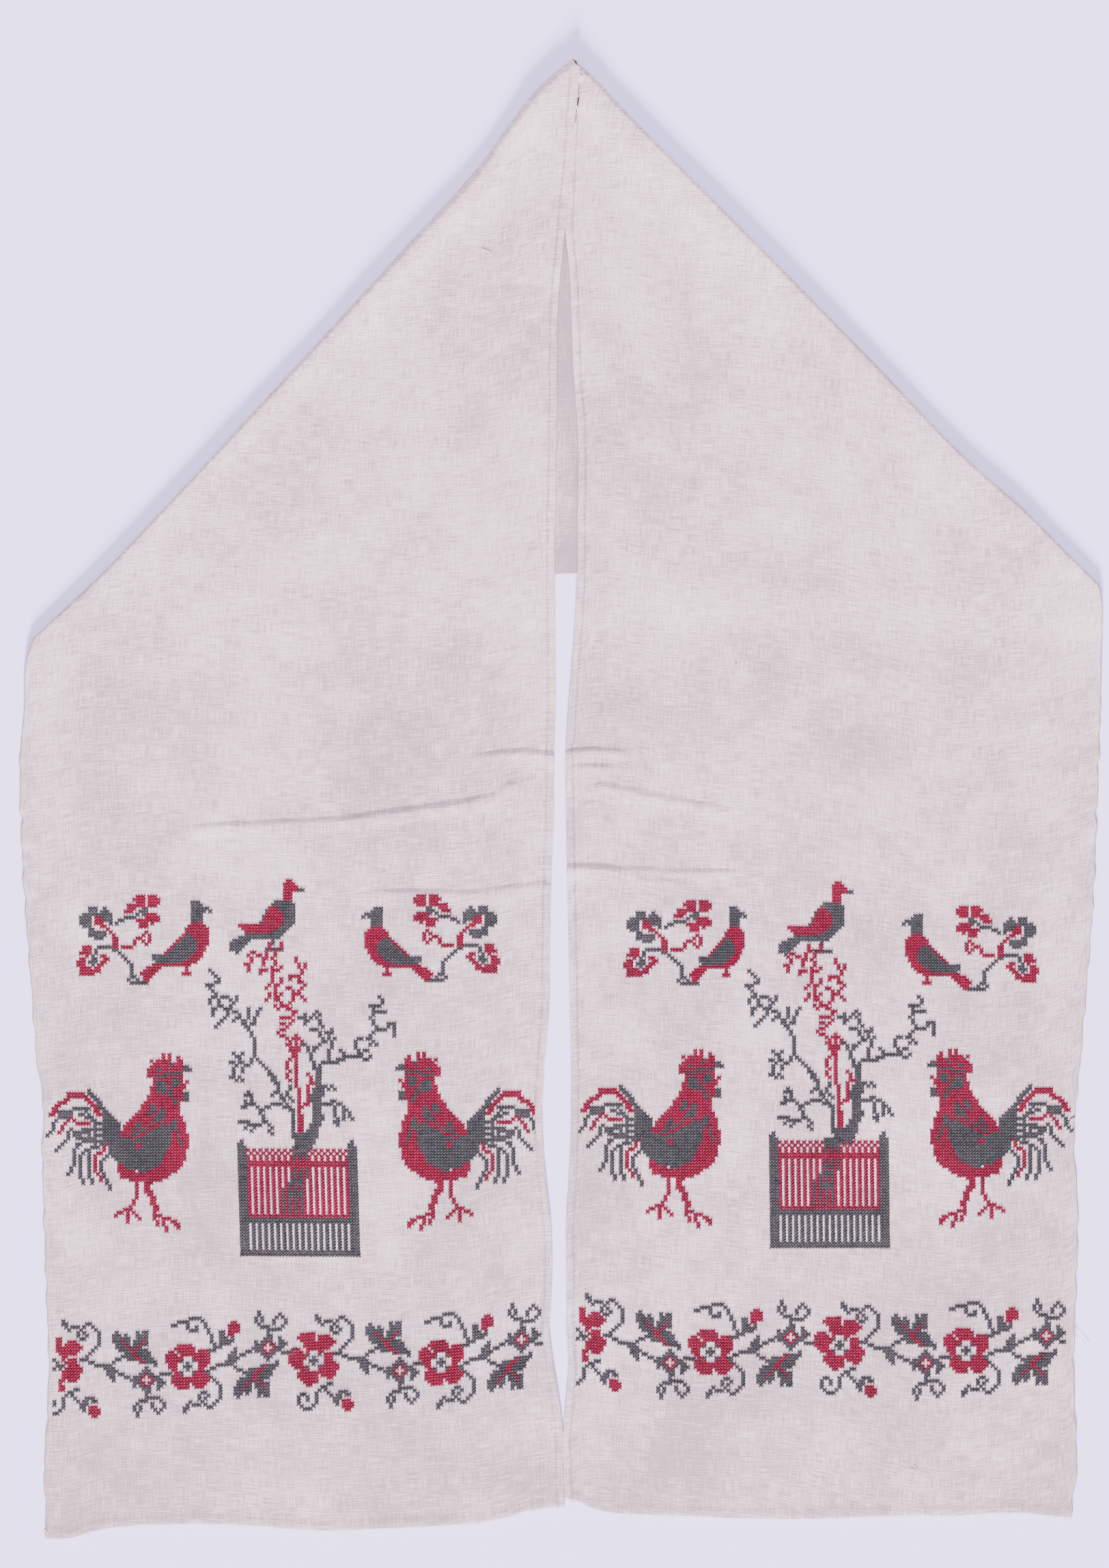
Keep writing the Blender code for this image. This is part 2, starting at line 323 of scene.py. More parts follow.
SIDES = {
    "left": {"corner": (-385.4, 118.8), "point": (8.1, 540.8), "inward": 1.0, "top_part": 0.0},
    "right": {"corner": (392.6, 158.2), "point": (13.5, 536.0), "inward": -1.0, "top_part": 1.0},
}

# Motifs, charted: the thread, the form it makes and its places, counted in stitches.
# A line is one stitch wide, a band two and a bar three. A paling is every other column of a block.
ROOSTER = (
    ("red", "area", "36,52 36,55 38,57 41,57 44,56 46,55 46,52 44,51 38,51"),
    ("red", "line", "37,56 36,57"),
    ("red", "line", "40,57 40,59"),
    ("red", "line", "42,57 42,59"),
    ("red", "line", "44,56 45,58"),
    ("red", "line", "46,55 46,57"),
    ("red", "area", "37,51 46,51 46,46 45,42 45,38 40,34 30,30 23,30 26,33 28,36 32,40 34,43 36,46"),
    ("red", "line", "35,52 35,54"),
    ("red", "line", "33,42 35,43"),
    ("red", "line", "46,47 48,50"),
    (
        "red", "area",
        "25,22 25,20 26,18 31,17 35,16 41,18 46,22 47,26 48,30 47,35 "
        "45,39 42,40 41,28 38,21 31,19",
    ),
    ("grey", "area", "22,31 22,27 24,24 28,21 34,20 38,22 41,27 42,31 42,35 40,35 37,34 33,31 28,31"),
    ("grey", "line", "47,55 48,55 47,54 49,54"),
    ("grey", "band", "37,52 45,53"),
    ("grey", "area", "38,47 40,46 41,48 40,50 38,50"),
    ("grey", "area", "43,48 45,49 45,51 43,51"),
    ("grey", "line", "41,47 43,46 44,43"),
    ("grey", "line", "42,46 43,44"),
    ("grey", "area", "35,39 37,40 37,42 36,42"),
    ("grey", "area", "38,38 40,38 40,41 39,41"),
    ("grey", "line", "37,38 38,37 40,36"),
    ("grey", "area", "42,34 44,34 44,37 43,37"),
    ("grey", "line", "45,33 45,31 46,29"),
    ("grey", "line", "29,32 32,34 32,36"),
    ("grey", "line", "30,33 31,36"),
    ("grey", "area", "47,44 48,44 48,46 47,46"),
    ("grey", "line", "38,54 39,54"),
    ("grey", "line", "42,55 43,56"),
    ("red", "area", "31,28 32,28 32,29 31,29"),
    ("red", "line", "29,31 33,32 37,35"),
    ("grey", "line", "30,32 34,34 37,37"),
    ("red", "line", "31,17 31,11"),
    ("red", "line", "31,11 29,8 28,6"),
    ("red", "line", "28,7 24,5"),
    ("red", "line", "28,6 28,3"),
    ("red", "line", "29,7 31,5 32,4"),
    ("red", "bar", "34,16 34,13"),
    ("red", "band", "35,13 36,10 37,7"),
    ("red", "line", "37,7 37,4 38,2"),
    ("red", "line", "38,5 40,4 42,4 44,2"),
    ("red", "line", "40,3 41,0"),
    ("red", "line", "44,3 45,1"),
    ("red", "band", "2,39 4,42 6,43 8,45"),
    ("red", "bar", "8,45 13,45 15,43 18,39"),
    ("grey", "bar", "15,46 17,44 19,41 22,38"),
    ("grey", "area", "20,33 20,39 22,39 25,36 25,33"),
    ("grey", "band", "10,41 14,41"),
    ("grey", "line", "14,40 18,36 20,35"),
    ("grey", "line", "12,39 15,38 18,34"),
    ("grey", "area", "5,38 5,40 9,40 9,38"),
    ("grey", "line", "5,38 3,36 3,34 1,32"),
    ("red", "line", "5,33 6,35 8,37 9,38 11,36 15,36"),
    ("grey", "line", "4,27 6,29 7,30 8,31 8,33 9,34"),
    ("grey", "line", "10,32 13,34 20,34"),
    ("grey", "line", "10,33 12,32 19,32"),
    ("grey", "area", "11,31 17,31 17,33 11,33"),
    ("open", "line", "13,32 14,32"),
    ("open", "line", "16,33 16,32"),
    ("grey", "area", "20,29 25,28 25,34 20,33"),
    ("grey", "line", "8,19 9,21 10,22 10,27 11,29 15,30 20,30"),
    ("grey", "line", "13,16 13,17 12,18 12,25 14,27 17,28 20,29"),
    ("grey", "line", "16,16 16,17 15,18 15,27 17,29"),
    ("red", "line", "19,17 18,19 17,20 17,25 19,26 20,28 21,29"),
    ("grey", "line", "22,14 21,17 20,18 19,20 19,23 21,25 23,27"),
)

TOP_BIRD = (
    ("red", "area", "18,18 18,23 19,24 20,24 21,23 21,21 20,20 20,18"),
    ("red", "line", "21,22 22,22 22,21"),
    ("grey", "line", "23,21 24,21"),
    ("grey", "area", "15,17 20,17 21,16 21,10 19,8 16,5 14,7 16,10 15,14 13,15"),
    ("grey", "line", "15,17 13,15 10,10"),
    ("red", "area", "13,15 15,15 17,13 17,10 15,8 13,7 5,7 3,9 10,9"),
    ("grey", "area", "4,5 16,5 16,6 5,6"),
    ("grey", "area", "5,6 0,3 0,1 2,0 6,4"),
    ("grey", "line", "14,4 14,3"),
    ("grey", "band", "12,1 16,1"),
)

SIDE_BIRD = (
    ("grey", "area", "18,20 18,26 20,26 22,24 22,23 21,22 21,20"),
    ("grey", "line", "23,24 24,23"),
    ("red", "area", "18,19 21,19 23,17 23,13 22,10 20,7 17,5 8,5 5,2 3,0 2,0 1,2 5,5 6,6 10,9 14,14"),
    ("grey", "area", "17,15 15,14 12,11 9,8 5,8 5,7 6,6 14,6 17,8 19,10 19,12 18,14"),
    ("red", "line", "17,17 13,13 9,9"),
    ("red", "line", "16,4 16,3"),
    ("red", "line", "15,2 17,2"),
)

BRANCH = (
    ("grey", "line", "23,1 18,1 17,2 18,3 19,3 20,1"),
    ("grey", "line", "18,4 18,7 14,11 12,12 10,13 7,13 5,10"),
    ("red", "area", "1,11 3,10 4,11 4,13 2,13"),
    ("red", "area", "0,7 2,7 2,9 0,8"),
    ("red", "area", "1,4 5,4 5,5 3,6 1,6"),
    ("red", "band", "5,5 6,5 6,6"),
    ("red", "band", "7,7 8,8 9,9 8,10"),
    ("grey", "area", "4,8 5,7 6,9 5,10"),
    ("red", "band", "12,13 12,16"),
    ("red", "line", "12,17 11,18 10,19 9,20"),
    ("red", "area", "6,21 8,20 8,22 6,23"),
    ("grey", "area", "1,21 4,19 4,22 3,24 1,23"),
    ("grey", "area", "4,24 6,24 6,26 4,26"),
    ("grey", "band", "4,17 4,19"),
    ("grey", "area", "6,16 8,16 9,18 6,18"),
    ("grey", "area", "7,24 9,26 11,24 11,21 9,22"),
    ("red", "line", "15,13 18,13 19,15 21,16 23,18 24,17 24,15 23,14 22,15"),
    ("grey", "line", "13,21 16,23 19,23 21,25"),
    ("grey", "area", "21,25 22,24 23,24 23,26 22,26"),
    ("red", "area", "16,25 18,25 19,26 19,27 17,27"),
    ("red", "area", "20,27 22,27 22,30 20,30 19,29"),
    ("red", "area", "24,27 26,27 27,29 26,30 24,30"),
    ("red", "area", "23,22 25,21 27,22 27,23 25,24 23,24"),
    ("red", "area", "21,20 23,20 22,22 20,22"),
)

TREE = (
    ("red", "bar", "36,10 36,15"),
    ("red", "line", "36,16 36,24 35,25 35,36"),
    ("red", "line", "34,36 34,38 32,41 30,42 29,43 31,44 32,45 30,46"),
    ("red", "band", "33,37 32,39"),
    ("red", "line", "35,37 35,41 34,41 35,42 36,41 37,40"),
    ("red", "line", "36,37 36,38"),
    ("red", "line", "33,46 34,47 32,48 30,48"),
    ("red", "line", "34,49 35,50 32,51 31,52 29,51 28,52"),
    ("red", "line", "30,53 28,54 29,55 30,56"),
    ("red", "line", "28,55 28,58 27,60 27,65"),
    ("red", "line", "26,56 26,55 25,54"),
    ("red", "line", "25,58 26,59"),
    ("red", "line", "25,64 23,64 23,63"),
    ("red", "line", "29,59 30,60 30,61"),
    ("red", "line", "28,64 29,64 30,65"),
    ("red", "line", "28,66 27,68 28,70 26,71 26,73"),
    ("red", "line", "28,70 30,71 30,73"),
    ("red", "line", "25,70 25,69 24,67 24,66"),
    ("red", "line", "24,68 22,69 20,70 19,69 20,67 19,66 19,64 18,66"),
    ("red", "line", "32,52 33,53 34,55 34,56 36,56 37,55 38,54"),
    ("red", "line", "34,57 33,58 32,58"),
    ("red", "line", "36,57 37,58 38,59 37,60 36,60 35,62 33,62 33,61"),
    ("red", "line", "36,62 37,64 38,66"),
    ("red", "line", "36,65 36,66 35,67 35,68"),
    ("red", "line", "34,35 32,33 32,31 33,30 32,29 32,28 33,27"),
    ("red", "line", "37,18 39,19 39,22 39,25 40,26 41,26"),
    ("red", "line", "40,27 39,29"),
    ("grey", "line", "34,10 34,15 34,17"),
    ("grey", "line", "31,18 33,18"),
    ("grey", "line", "33,17 34,17"),
    ("grey", "line", "32,19 30,21 29,24 28,27 27,29 26,30"),
    ("grey", "band", "28,26 26,29"),
    (
        "grey", "line",
        "25,31 24,32 22,34 21,35 21,40 20,42 19,44 17,46 16,49 14,50 "
        "13,51 11,51 9,53 8,56 6,58",
    ),
    ("grey", "line", "5,59 7,59 9,60 8,62 7,63 6,64"),
    ("grey", "line", "8,55 6,54 6,53"),
    ("grey", "line", "10,52 7,51 7,49"),
    ("grey", "line", "9,54 11,55"),
    ("grey", "line", "13,52 14,53 15,55"),
    ("grey", "line", "13,54 12,55"),
    ("grey", "line", "12,50 11,48 8,45"),
    ("grey", "line", "16,48 14,47"),
    ("grey", "line", "18,46 19,49 19,51"),
    ("grey", "line", "19,45 21,46 21,48 22,50 23,51"),
    ("grey", "line", "20,34 19,32 17,31 17,30"),
    ("grey", "line", "18,32 16,33 15,35 14,36"),
    ("grey", "line", "16,35 17,36"),
    ("grey", "line", "15,32 13,33"),
    ("grey", "line", "14,31 14,30 13,28 15,27 16,28 17,27"),
    ("grey", "line", "28,23 27,22"),
    ("grey", "line", "31,21 32,23 33,25"),
    ("grey", "line", "32,22 33,21 34,20"),
    ("grey", "line", "31,18 30,19 28,19 26,18 23,17 22,18 20,19 17,18 18,20"),
    ("grey", "line", "20,20 20,21 19,23"),
    ("grey", "line", "18,22 20,22"),
    ("grey", "line", "23,16 24,14 25,13 23,12 21,11 20,10"),
    ("grey", "line", "21,12 18,13 16,13"),
    ("grey", "line", "19,12 18,11"),
    ("grey", "line", "26,12 27,11 26,10 27,9"),
    ("grey", "area", "34,8 42,8 42,10 40,9 34,9"),
    ("grey", "area", "35,4 40,4 41,7 35,7"),
    ("grey", "area", "39,10 42,11 44,14 43,16 43,20 44,24 43,26 42,26 40,22 41,17 41,13"),
    ("grey", "band", "42,26 42,31"),
    ("grey", "line", "43,32 45,33 47,33"),
    ("grey", "band", "47,33 50,34"),
    ("grey", "line", "51,35 51,36 50,37"),
    ("grey", "line", "52,35 56,35 58,34 59,34 60,35"),
    ("grey", "line", "57,36 59,37"),
    ("grey", "line", "56,36 55,38 55,40 56,41 57,41"),
    ("grey", "line", "59,41 61,43 62,44 65,44 66,46 68,46"),
    ("grey", "line", "68,45 68,42"),
    ("grey", "line", "62,45 61,46 60,48 61,50 65,50"),
    ("grey", "line", "61,51 63,52 64,53 63,55"),
    ("grey", "line", "61,52 60,52"),
    ("grey", "line", "60,41 61,40 62,39"),
    ("grey", "line", "60,39 61,40"),
    ("grey", "line", "46,34 46,37 47,38 47,40 46,41 46,43 47,44"),
    ("grey", "line", "48,41 47,40"),
    ("grey", "band", "45,43 46,43"),
    ("grey", "line", "44,45 42,48 41,49 42,50 43,49"),
    ("grey", "line", "40,48 39,47 36,48"),
    ("grey", "line", "38,48 38,49"),
    ("grey", "line", "38,46 39,47"),
    ("grey", "line", "41,31 41,32 40,34 40,35 39,37 39,38 37,39"),
    ("grey", "line", "40,36 41,38 42,38 44,40 45,40"),
    ("grey", "line", "44,41 43,42 42,44 40,44"),
    ("grey", "line", "44,25 46,24 47,25 48,24"),
    ("grey", "line", "42,18 44,19 47,19 47,20 49,19 51,18 52,17 53,15 54,14"),
    ("grey", "line", "51,17 51,14"),
    ("grey", "line", "47,19 48,17 48,15 49,13 48,13 49,12"),
)

# The fence: grey posts, a low grey paling, and a tall red one with a zigzag top before the tree's foot.
FENCE = (
    ("grey", "block", "0,0 38,12"),
    ("red", "block", "3,13 35,33"),
    ("open", "paling", "3,2 35,10"),
    ("open", "paling", "4,14 34,29"),
    ("open", "paling", "4,32 34,33"),
    ("red", "paling", "4,34 34,34"),
    ("red", "paling", "3,35 35,35"),
    ("grey", "block", "0,13 2,36"),
    ("grey", "block", "0,37 1,37"),
    ("grey", "block", "1,38 1,38"),
    ("grey", "block", "36,13 38,36"),
    ("grey", "block", "36,37 37,37"),
    ("grey", "block", "37,38 37,38"),
    ("grey", "block", "14,14 14,22"),
    ("grey", "block", "16,14 16,24"),
    ("grey", "paling", "18,14 20,29"),
    ("grey", "block", "22,26 22,29"),
    ("grey", "paling", "18,32 22,36"),
    ("grey", "paling", "19,34 21,36"),
    ("grey", "paling", "17,20 19,21"),
    ("grey", "paling", "17,24 19,25"),
    ("grey", "paling", "17,27 19,27"),
)

ROSE = (
    "....rrrrr......",
    "...rrrrrrr.....",
    ".rr.rrrrrr.rrr.",
    "rrrr.rrrrrrrrrr",
    "rrrrrr...rrrrrr",
    "rrrrrg...grrrrr",
    ".rrr...g...rrrr",
    ".rrr..ggg..rrr.",
    "..rr...g...rr..",
    "...rrg...grrr..",
    "..rrrr...rrrrr.",
    "..rrrrrrrrrrrrr",
    "..rrrrrrrrrrrrr",
    "...rrrrr.rrrrr.",
    "....rrrr..rrr..",
)
ROSE_MIDDLE = (7, 7)

TURNED_ROSE = (
    "....rrrrr........",
    "...rrrrrr.rrrr...",
    "....rrrrr.rrrrr..",
    ".....rrrrrrrrrrr.",
    ".....rrrrrrrrrr..",
    ".rrr..rrrrrrrr...",
    "rrrrr.r...rr.....",
    "rrrrrrg...g.rrr..",
    "rrrrrr..g...rrr..",
    "rrrrr..ggg..rrr..",
    ".rrrr...g...rrrr.",
    "..rrrrg...grrrrrr",
    "....rrr...rrrrrrr",
    "...rrrrrrrrrrrrr.",
    "...rrrrrrr.rrrrr.",
    "....rrrrrr...rr..",
    ".....rrrrr.......",
    "......rr.........",
)
TURNED_ROSE_MIDDLE = (8, 9)

HALF_ROSE = (
    ".rr.......",
    ".rr..rrr..",
    ".rr.rrrrr.",
    ".rrrrrrrrr",
    ".rrrrrrrr.",
    "..rrrrrr..",
    "...rr.....",
    "g..r.rrr..",
    ".g..rrrr..",
    ".ggg.rrrr.",
    "g.g.rrrrrr",
    "...rrrrrrr",
    "...rrrrrr.",
    "...rrrrrr.",
    "..rr.rrr..",
    "..r.......",
    "..rr......",
    "..rr......",
)
HALF_ROSE_MIDDLE = (2, 9)

# The border between one rose and the next, from the first rose's middle in column 0 of the row so marked.
GARLAND = (
    "g.....................................",
    "gg......gg............................",
    ".g.ggg.g..g...........................",
    "..g...g....g..........................",
    ".....g.g....g.....g......g.gg.........",
    ".....g..g...g....ggg.g...gggg.........",
    "......gg....g....gggggg..gggg.........",
    "............g....gggrgg.gggrg.........",
    "............g.....gggrg.ggrgg.........",
    "...........g......ggggrggrg...........",
    "..........g........ggggrrgggg.........",
    ".........g...........ggrrggggg........",
    "........g...........ggggrrgggg........",
    "......ggg.........gg..gggrrgggg.......",
    ".........gg......g........grgggg......",
    "...........gggggg..............g......",
    "..............gggg..........g.........",
    "...............gggg........ggg........",
    "...............ggg.gg.....ggrgg..gggg.",
    "................gg...gg.gggr.rggg....g",
    ".................g.....gggr...rggg....",
    "........................gggr.rg.ggg...",
    "........................g.ggrg..gg....",
    "...........................ggg..g.....",
    "............................gg........",
    "............................g.........",
    "............................ggggg.....",
    "..........................ggg....g....",
    ".........................g....g...g...",
    "........................g.g...g...g...",
    "........................g.g....g.g....",
    ".........................g......g.....",
    ".........................g............",
)
GARLAND_MIDDLE = (0, 15)

# The bud and curl below a turned rose, and those above the other.
LOW_BUD = (
    "..........gg........",
    "........gg..........",
    ".......g.g..........",
    ".gg...g...g...ggg...",
    "g..g..g....g.gg.gg..",
    "g..g..g.....ggg.....",
    "g.....g.....gg.rrr..",
    ".g...g.......g.rrrr.",
    "..ggg..........rrrr.",
    "................rr..",
)
LOW_BUD_MIDDLE = (5, -8)
HIGH_BUD = (
    "......gggg.............",
    "..gggg....g............",
    "gg...g.....g........rr.",
    ".....g..g..g.......rrrr",
    "......ggg...g......rrrr",
    "............g...gg.rrrr",
    ".............g..gg.rr..",
    ".............g..ggg.g..",
    ".............g..ggggg..",
    "..............g.gggg...",
    "..............ggg......",
    "............ggg........",
)
HIGH_BUD_MIDDLE = (5, 15)

# The middle of each rose of the border, from the selvedge or side hem on: X and Y of both ends.
BORDER_ROSES = Table(
    "rose left_x left_y right_x right_y",
    (0, -366.4, -414.8, 16.6, -392.9),
    (1, -273.2, -415.2, 109.2, -404.6),
    (2, -181.1, -411.0, 203.6, -399.6),
    (3, -87.8, -412.2, 296.1, -403.5),
)
BORDER_SLOPES = {"left": (0.01, 0.05, 0.06, 0.10), "right": (-0.10, 0.0, 0.0, 0.0)}
BORDER_LIMITS = {"left": (-2, 35), "right": (-2, 33)}
TURNED_GARLAND_SHIFT = (-1, 0)
GARLAND_SHIFT = {"left": (1, 0), "right": (1, -1)}
BUD_SHIFT = (0, 1)
LOW_BUD_SHIFT = {"left": (0, 0), "right": (-1, 0)}


def smooth_step(value):
    """The value held between 0 and 1, and eased at both."""
    value = np.clip(value, 0.0, 1.0)
    return value * value * (3 - 2 * value)


# How the laid cloth lies.


def stacked_height(x, y):
    """Height of an end's underside: on the crossing layer, then down to the surface below its selvedge."""
    below = BACK_EDGE.read("height", x) - y - DROP_START
    level = bpy.context.scene.towel_cloth_sizes.thickness / MM + STACK_GAP
    return level * (1 - smooth_step(below / DROP_LENGTH))


def overlap_height(side, x, y):
    """How far the left end's inner edge is lifted over the right one's."""
    if side != "left":
        return np.zeros_like(x)
    start, full, last, end = OVERLAP_HEIGHTS
    along = smooth_step((y - start) / (full - start)) * smooth_step((end - y) / (end - last))
    near = smooth_step(1 - (INNER_EDGES.read("left", y) - x) / OVERLAP_REACH)
    return OVERLAP_RISE * along * near


def crease_height(x, y):
    """Height of the creases at a place on the ends: a sharp one drops steeply on its upper side."""
    total = np.zeros_like(x)
    for from_x, from_y, to_x, to_y, height, half_width in CREASES.rows():
        run = np.array((to_x - from_x, to_y - from_y))
        part = ((x - from_x) * run[0] + (y - from_y) * run[1]) / (run @ run)
        nearest = np.clip(part, 0.0, 1.0)
        away = np.hypot(x - from_x - nearest * run[0], y - from_y - nearest * run[1])
        if half_width < WIDEST_SHARP_CREASE:
            above = (y - from_y) * run[0] > (x - from_x) * run[1]
            away = np.where(above, away * CREASE_STEEPNESS, away)
        total = np.maximum(total, height * smooth_step(1 - away / half_width))
    return total


def swell_height(x, y):
    """Height of the low waves, never below the surface."""
    total = np.zeros_like(x)
    for length, direction, height, start in SWELLS.rows():
        turned = math.radians(direction)
        along = x * math.cos(turned) + y * math.sin(turned)
        total = total + height * (1 + np.sin(2 * math.pi * along / length + start)) / 2
    return total


def laid_height(side, x, y):
    """Height of an end's underside with all its relief."""
    return stacked_height(x, y) + overlap_height(side, x, y) + crease_height(x, y) + swell_height(x, y)


def across_columns():
    """Places across the cloth: close together along the selvedge and around the side hem's step."""
    sizes = bpy.context.scene.towel_cloth_sizes
    width = sizes.width / MM
    hem = width - sizes.hem_width / MM
    plain = np.arange(EDGE_COLUMNS[-1] + COLUMN_STEP, hem - COLUMN_STEP, COLUMN_STEP)
    before_hem = hem - np.array(HEM_COLUMNS_BEFORE)
    on_hem = ((hem + width) / 2, width - HEM_ROUNDING, width)
    return np.array((*EDGE_COLUMNS, *plain, *before_hem, *on_hem)) / width


def roll_start(side):
    """How high an end's selvedge and its inner edge reach before its fold starts to roll."""
    corner, point = np.array(SIDES[side]["corner"]), np.array(SIDES[side]["point"])
    down = ROLL_REACH_OVER * np.linalg.norm(point - corner) / abs(point[0] - corner[0])
    return corner[1] - down, point[1] - down


def scalloped(side, points, across):
    """The points of an end's row with the selvedge's scallops, which die away inwards and to the fold."""
    y = points[:, 1]
    near = smooth_step(1 - across * bpy.context.scene.towel_cloth_sizes.width / MM / EDGE_COLUMNS[-1])
    near = near * smooth_step((roll_start(side)[0] - y[0]) / SCALLOP_FADE)
    outward = -SIDES[side]["inward"]
    drift = SCALLOP_DRIFT * np.sin(y / SCALLOP_DRIFT_LENGTH)
    for length, out, lift, start in SCALLOPS.rows():
        wave = np.sin(2 * math.pi * y / length + start + SCALLOP_SHIFT[side] + drift)
        points[:, 0] += outward * out * wave * near
        points[:, 2] += lift * np.clip(wave, 0, 1) * near
    return points


def end_row(side, selvedge_height, inner_height, across):
    """One row of points across an end, from its selvedge to its inner edge."""
    y = selvedge_height + (inner_height - selvedge_height) * across
    share = np.clip((LEVEL_LINE - y) / (LEVEL_LINE - HEM_LINE), 0.0, 1.0)
    y = y + HEM_WAVE.read(side, across) * share
    selvedge = SELVEDGES.read(side, y[0])
    inner = INNER_EDGES.read(side, y[-1])
    x = selvedge + (inner - selvedge) * across
    return scalloped(side, np.column_stack((x, y, laid_height(side, x, y))), across)


def fold_row(side, inset, over, bulge, across, hem_start):
    """One row of points along a fold, part way round its roll."""
    fold = SIDES[side]
    corner = np.array(fold["corner"])
    point = np.array(fold["point"])
    run = (point - corner) / np.linalg.norm(point - corner)
    inward = fold["inward"] * np.array((run[1], -run[0]))
    down = inset / abs(inward[1])
    heights = np.array((corner[1] - down, point[1] - down))
    over_outer = np.array((SELVEDGES.read(side, heights[0]), heights[0]))
    over_inner = np.array((INNER_EDGES.read(side, heights[1]), heights[1]))
    back = corner[0] + fold["inward"] * inset / abs(inward[0])
    under_outer = np.array((back, BACK_EDGE.read("height", back)))
    top_part = fold["top_part"] + fold["inward"] * TOP_EDGE_FOR_ROLL * inset / ROLL_REACH_UNDER
    under_inner = np.array((TOP_EDGE.read("across", top_part), TOP_EDGE.read("height", top_part)))
    outer = over * over_outer + (1 - over) * under_outer
    inner = over * over_inner + (1 - over) * under_inner
    reach = ROLL_REACH_UNDER + (ROLL_REACH_OVER - ROLL_REACH_UNDER) * over
    bow = FOLDS.read(f"{side}_bow", across) * (1 - inset / reach)
    places = outer + (inner - outer) * across[:, None] - inward * bow[:, None]
    x, y = places.T
    crossing = bpy.context.scene.towel_cloth_sizes.thickness / MM
    turned_up = TOP_EDGE.read("rise", top_part) * smooth_step((across - hem_start) / (1 - hem_start))
    puff = bulge * FOLDS.read(f"{side}_puff", across)
    z = over * laid_height(side, x, y) + (1 - over) * (crossing + turned_up) + puff
    return np.column_stack((places, z))


def crossing_row(part, across, hem_start):
    """One row of points across the crossing layer, from its selvedge to its short top edge."""
    starts = []
    for fold in SIDES.values():
        run = np.subtract(fold["point"], fold["corner"])
        step = ROLL_REACH_UNDER * np.linalg.norm(run) / abs(run[1])
        starts.append(fold["corner"][0] + fold["inward"] * step)
    back = starts[0] + (starts[1] - starts[0]) * part
    top_part = TOP_EDGE_FOR_ROLL + (1 - 2 * TOP_EDGE_FOR_ROLL) * part
    outer = np.array((back, BACK_EDGE.read("height", back)))
    inner = np.array((TOP_EDGE.read("across", top_part), TOP_EDGE.read("height", top_part)))
    places = outer + (inner - outer) * across[:, None]
    crossing = bpy.context.scene.towel_cloth_sizes.thickness / MM
    turned_up = TOP_EDGE.read("rise", top_part) * smooth_step((across - hem_start) / (1 - hem_start))
    return np.column_stack((places, crossing + turned_up))


def end_rows(side, across, hem_width):
    """All rows of one end from its hem to its fold's roll, each with its hem's share of the thickness."""
    hem_top = HEM_LINE + hem_width
    ups = (0.0, HEM_ROUNDING, hem_width / 2, hem_width, hem_width + HEM_STEP)
    rows = [
        (end_row(side, HEM_LINE + up, HEM_LINE + up, across), share) for up, share in zip(ups, HEM_SHARES)
    ]
    plain = np.arange(hem_top + PLAIN_ROW, CREASED_LINE, PLAIN_ROW)
    creased = np.arange(CREASED_LINE, FAN_LINE, CREASED_ROW)
    for height in (hem_top + HEM_MARGIN, *plain, *creased):
        rows.append((end_row(side, height, height, across), 0.0))
    selvedge_end, inner_end = roll_start(side)
    for count in range(FAN_ROWS):
        part = (count / FAN_ROWS) ** FAN_CROWDING
        selvedge = FAN_LINE + (selvedge_end - FAN_LINE) * part
        inner = FAN_LINE + (inner_end - FAN_LINE) * part
        rows.append((end_row(side, selvedge, inner, across), 0.0))
    return rows


def sheet_rows(across, hem_width, hem_start):
    """Every row along the strip: points, and the share of the hem's thickness that each has."""
    side_hem = np.where(across > hem_start - 1e-6, 1.0, 0.0)
    side_hem[-1] = SIDE_HEM_EDGE_SHARE
    halves = []
    for side in SIDES:
        half = []
        for points, share in end_rows(side, across, hem_width):
            half.append((points, np.maximum(side_hem, share)))
        for at in np.arange(0, ROLL.values["row"][-1] + ROLL_STEP, ROLL_STEP):
            over = float(np.clip(ROLL.read("over", at), 0.0, 1.0))
            row = fold_row(side, ROLL.read("inset", at), over, ROLL.read("bulge", at), across, hem_start)
            half.append((row, side_hem * smooth_step(over * 4 - 3)))
        halves.append(half)
    crossing = []
    for count in range(1, CROSSING_ROWS):
        crossing.append((crossing_row(count / CROSSING_ROWS, across, hem_start), np.zeros(len(across))))
    return halves[0] + crossing + halves[1][::-1]


# Materials.


def new_node(tree, kind, **settings):
    """A node of that kind; settings name its inputs, or its own attributes where it has no such input."""
    node = tree.nodes.new(kind)
    for name, value in settings.items():
        label = name.replace("_", " ").title()
        if label in node.inputs:
            node.inputs[label].default_value = value
        else:
            setattr(node, name, value)
    return node


def math_node(tree, operation, first, second, third=None):
    """The output of a Math node; a number is a value and anything else a link."""
    node = tree.nodes.new("ShaderNodeMath")
    node.operation = operation
    for slot, value in zip(node.inputs, (first, second, third)):
        if value is None:
            continue
        if isinstance(value, (int, float)):
            slot.default_value = value
        else:
            tree.links.new(value, slot)
    return node.outputs[0]


def new_group(name, inputs, outputs):
    """An empty node group with those sockets, and its two end nodes."""
    group = bpy.data.node_groups.new(name, "ShaderNodeTree")
    for label, kind, value in inputs:
        socket = group.interface.new_socket(label, in_out="INPUT", socket_type=kind)
        if value is not None:
            socket.default_value = value
    for label, kind in outputs:
        group.interface.new_socket(label, in_out="OUTPUT", socket_type=kind)
    return group, group.nodes.new("NodeGroupInput"), group.nodes.new("NodeGroupOutput")


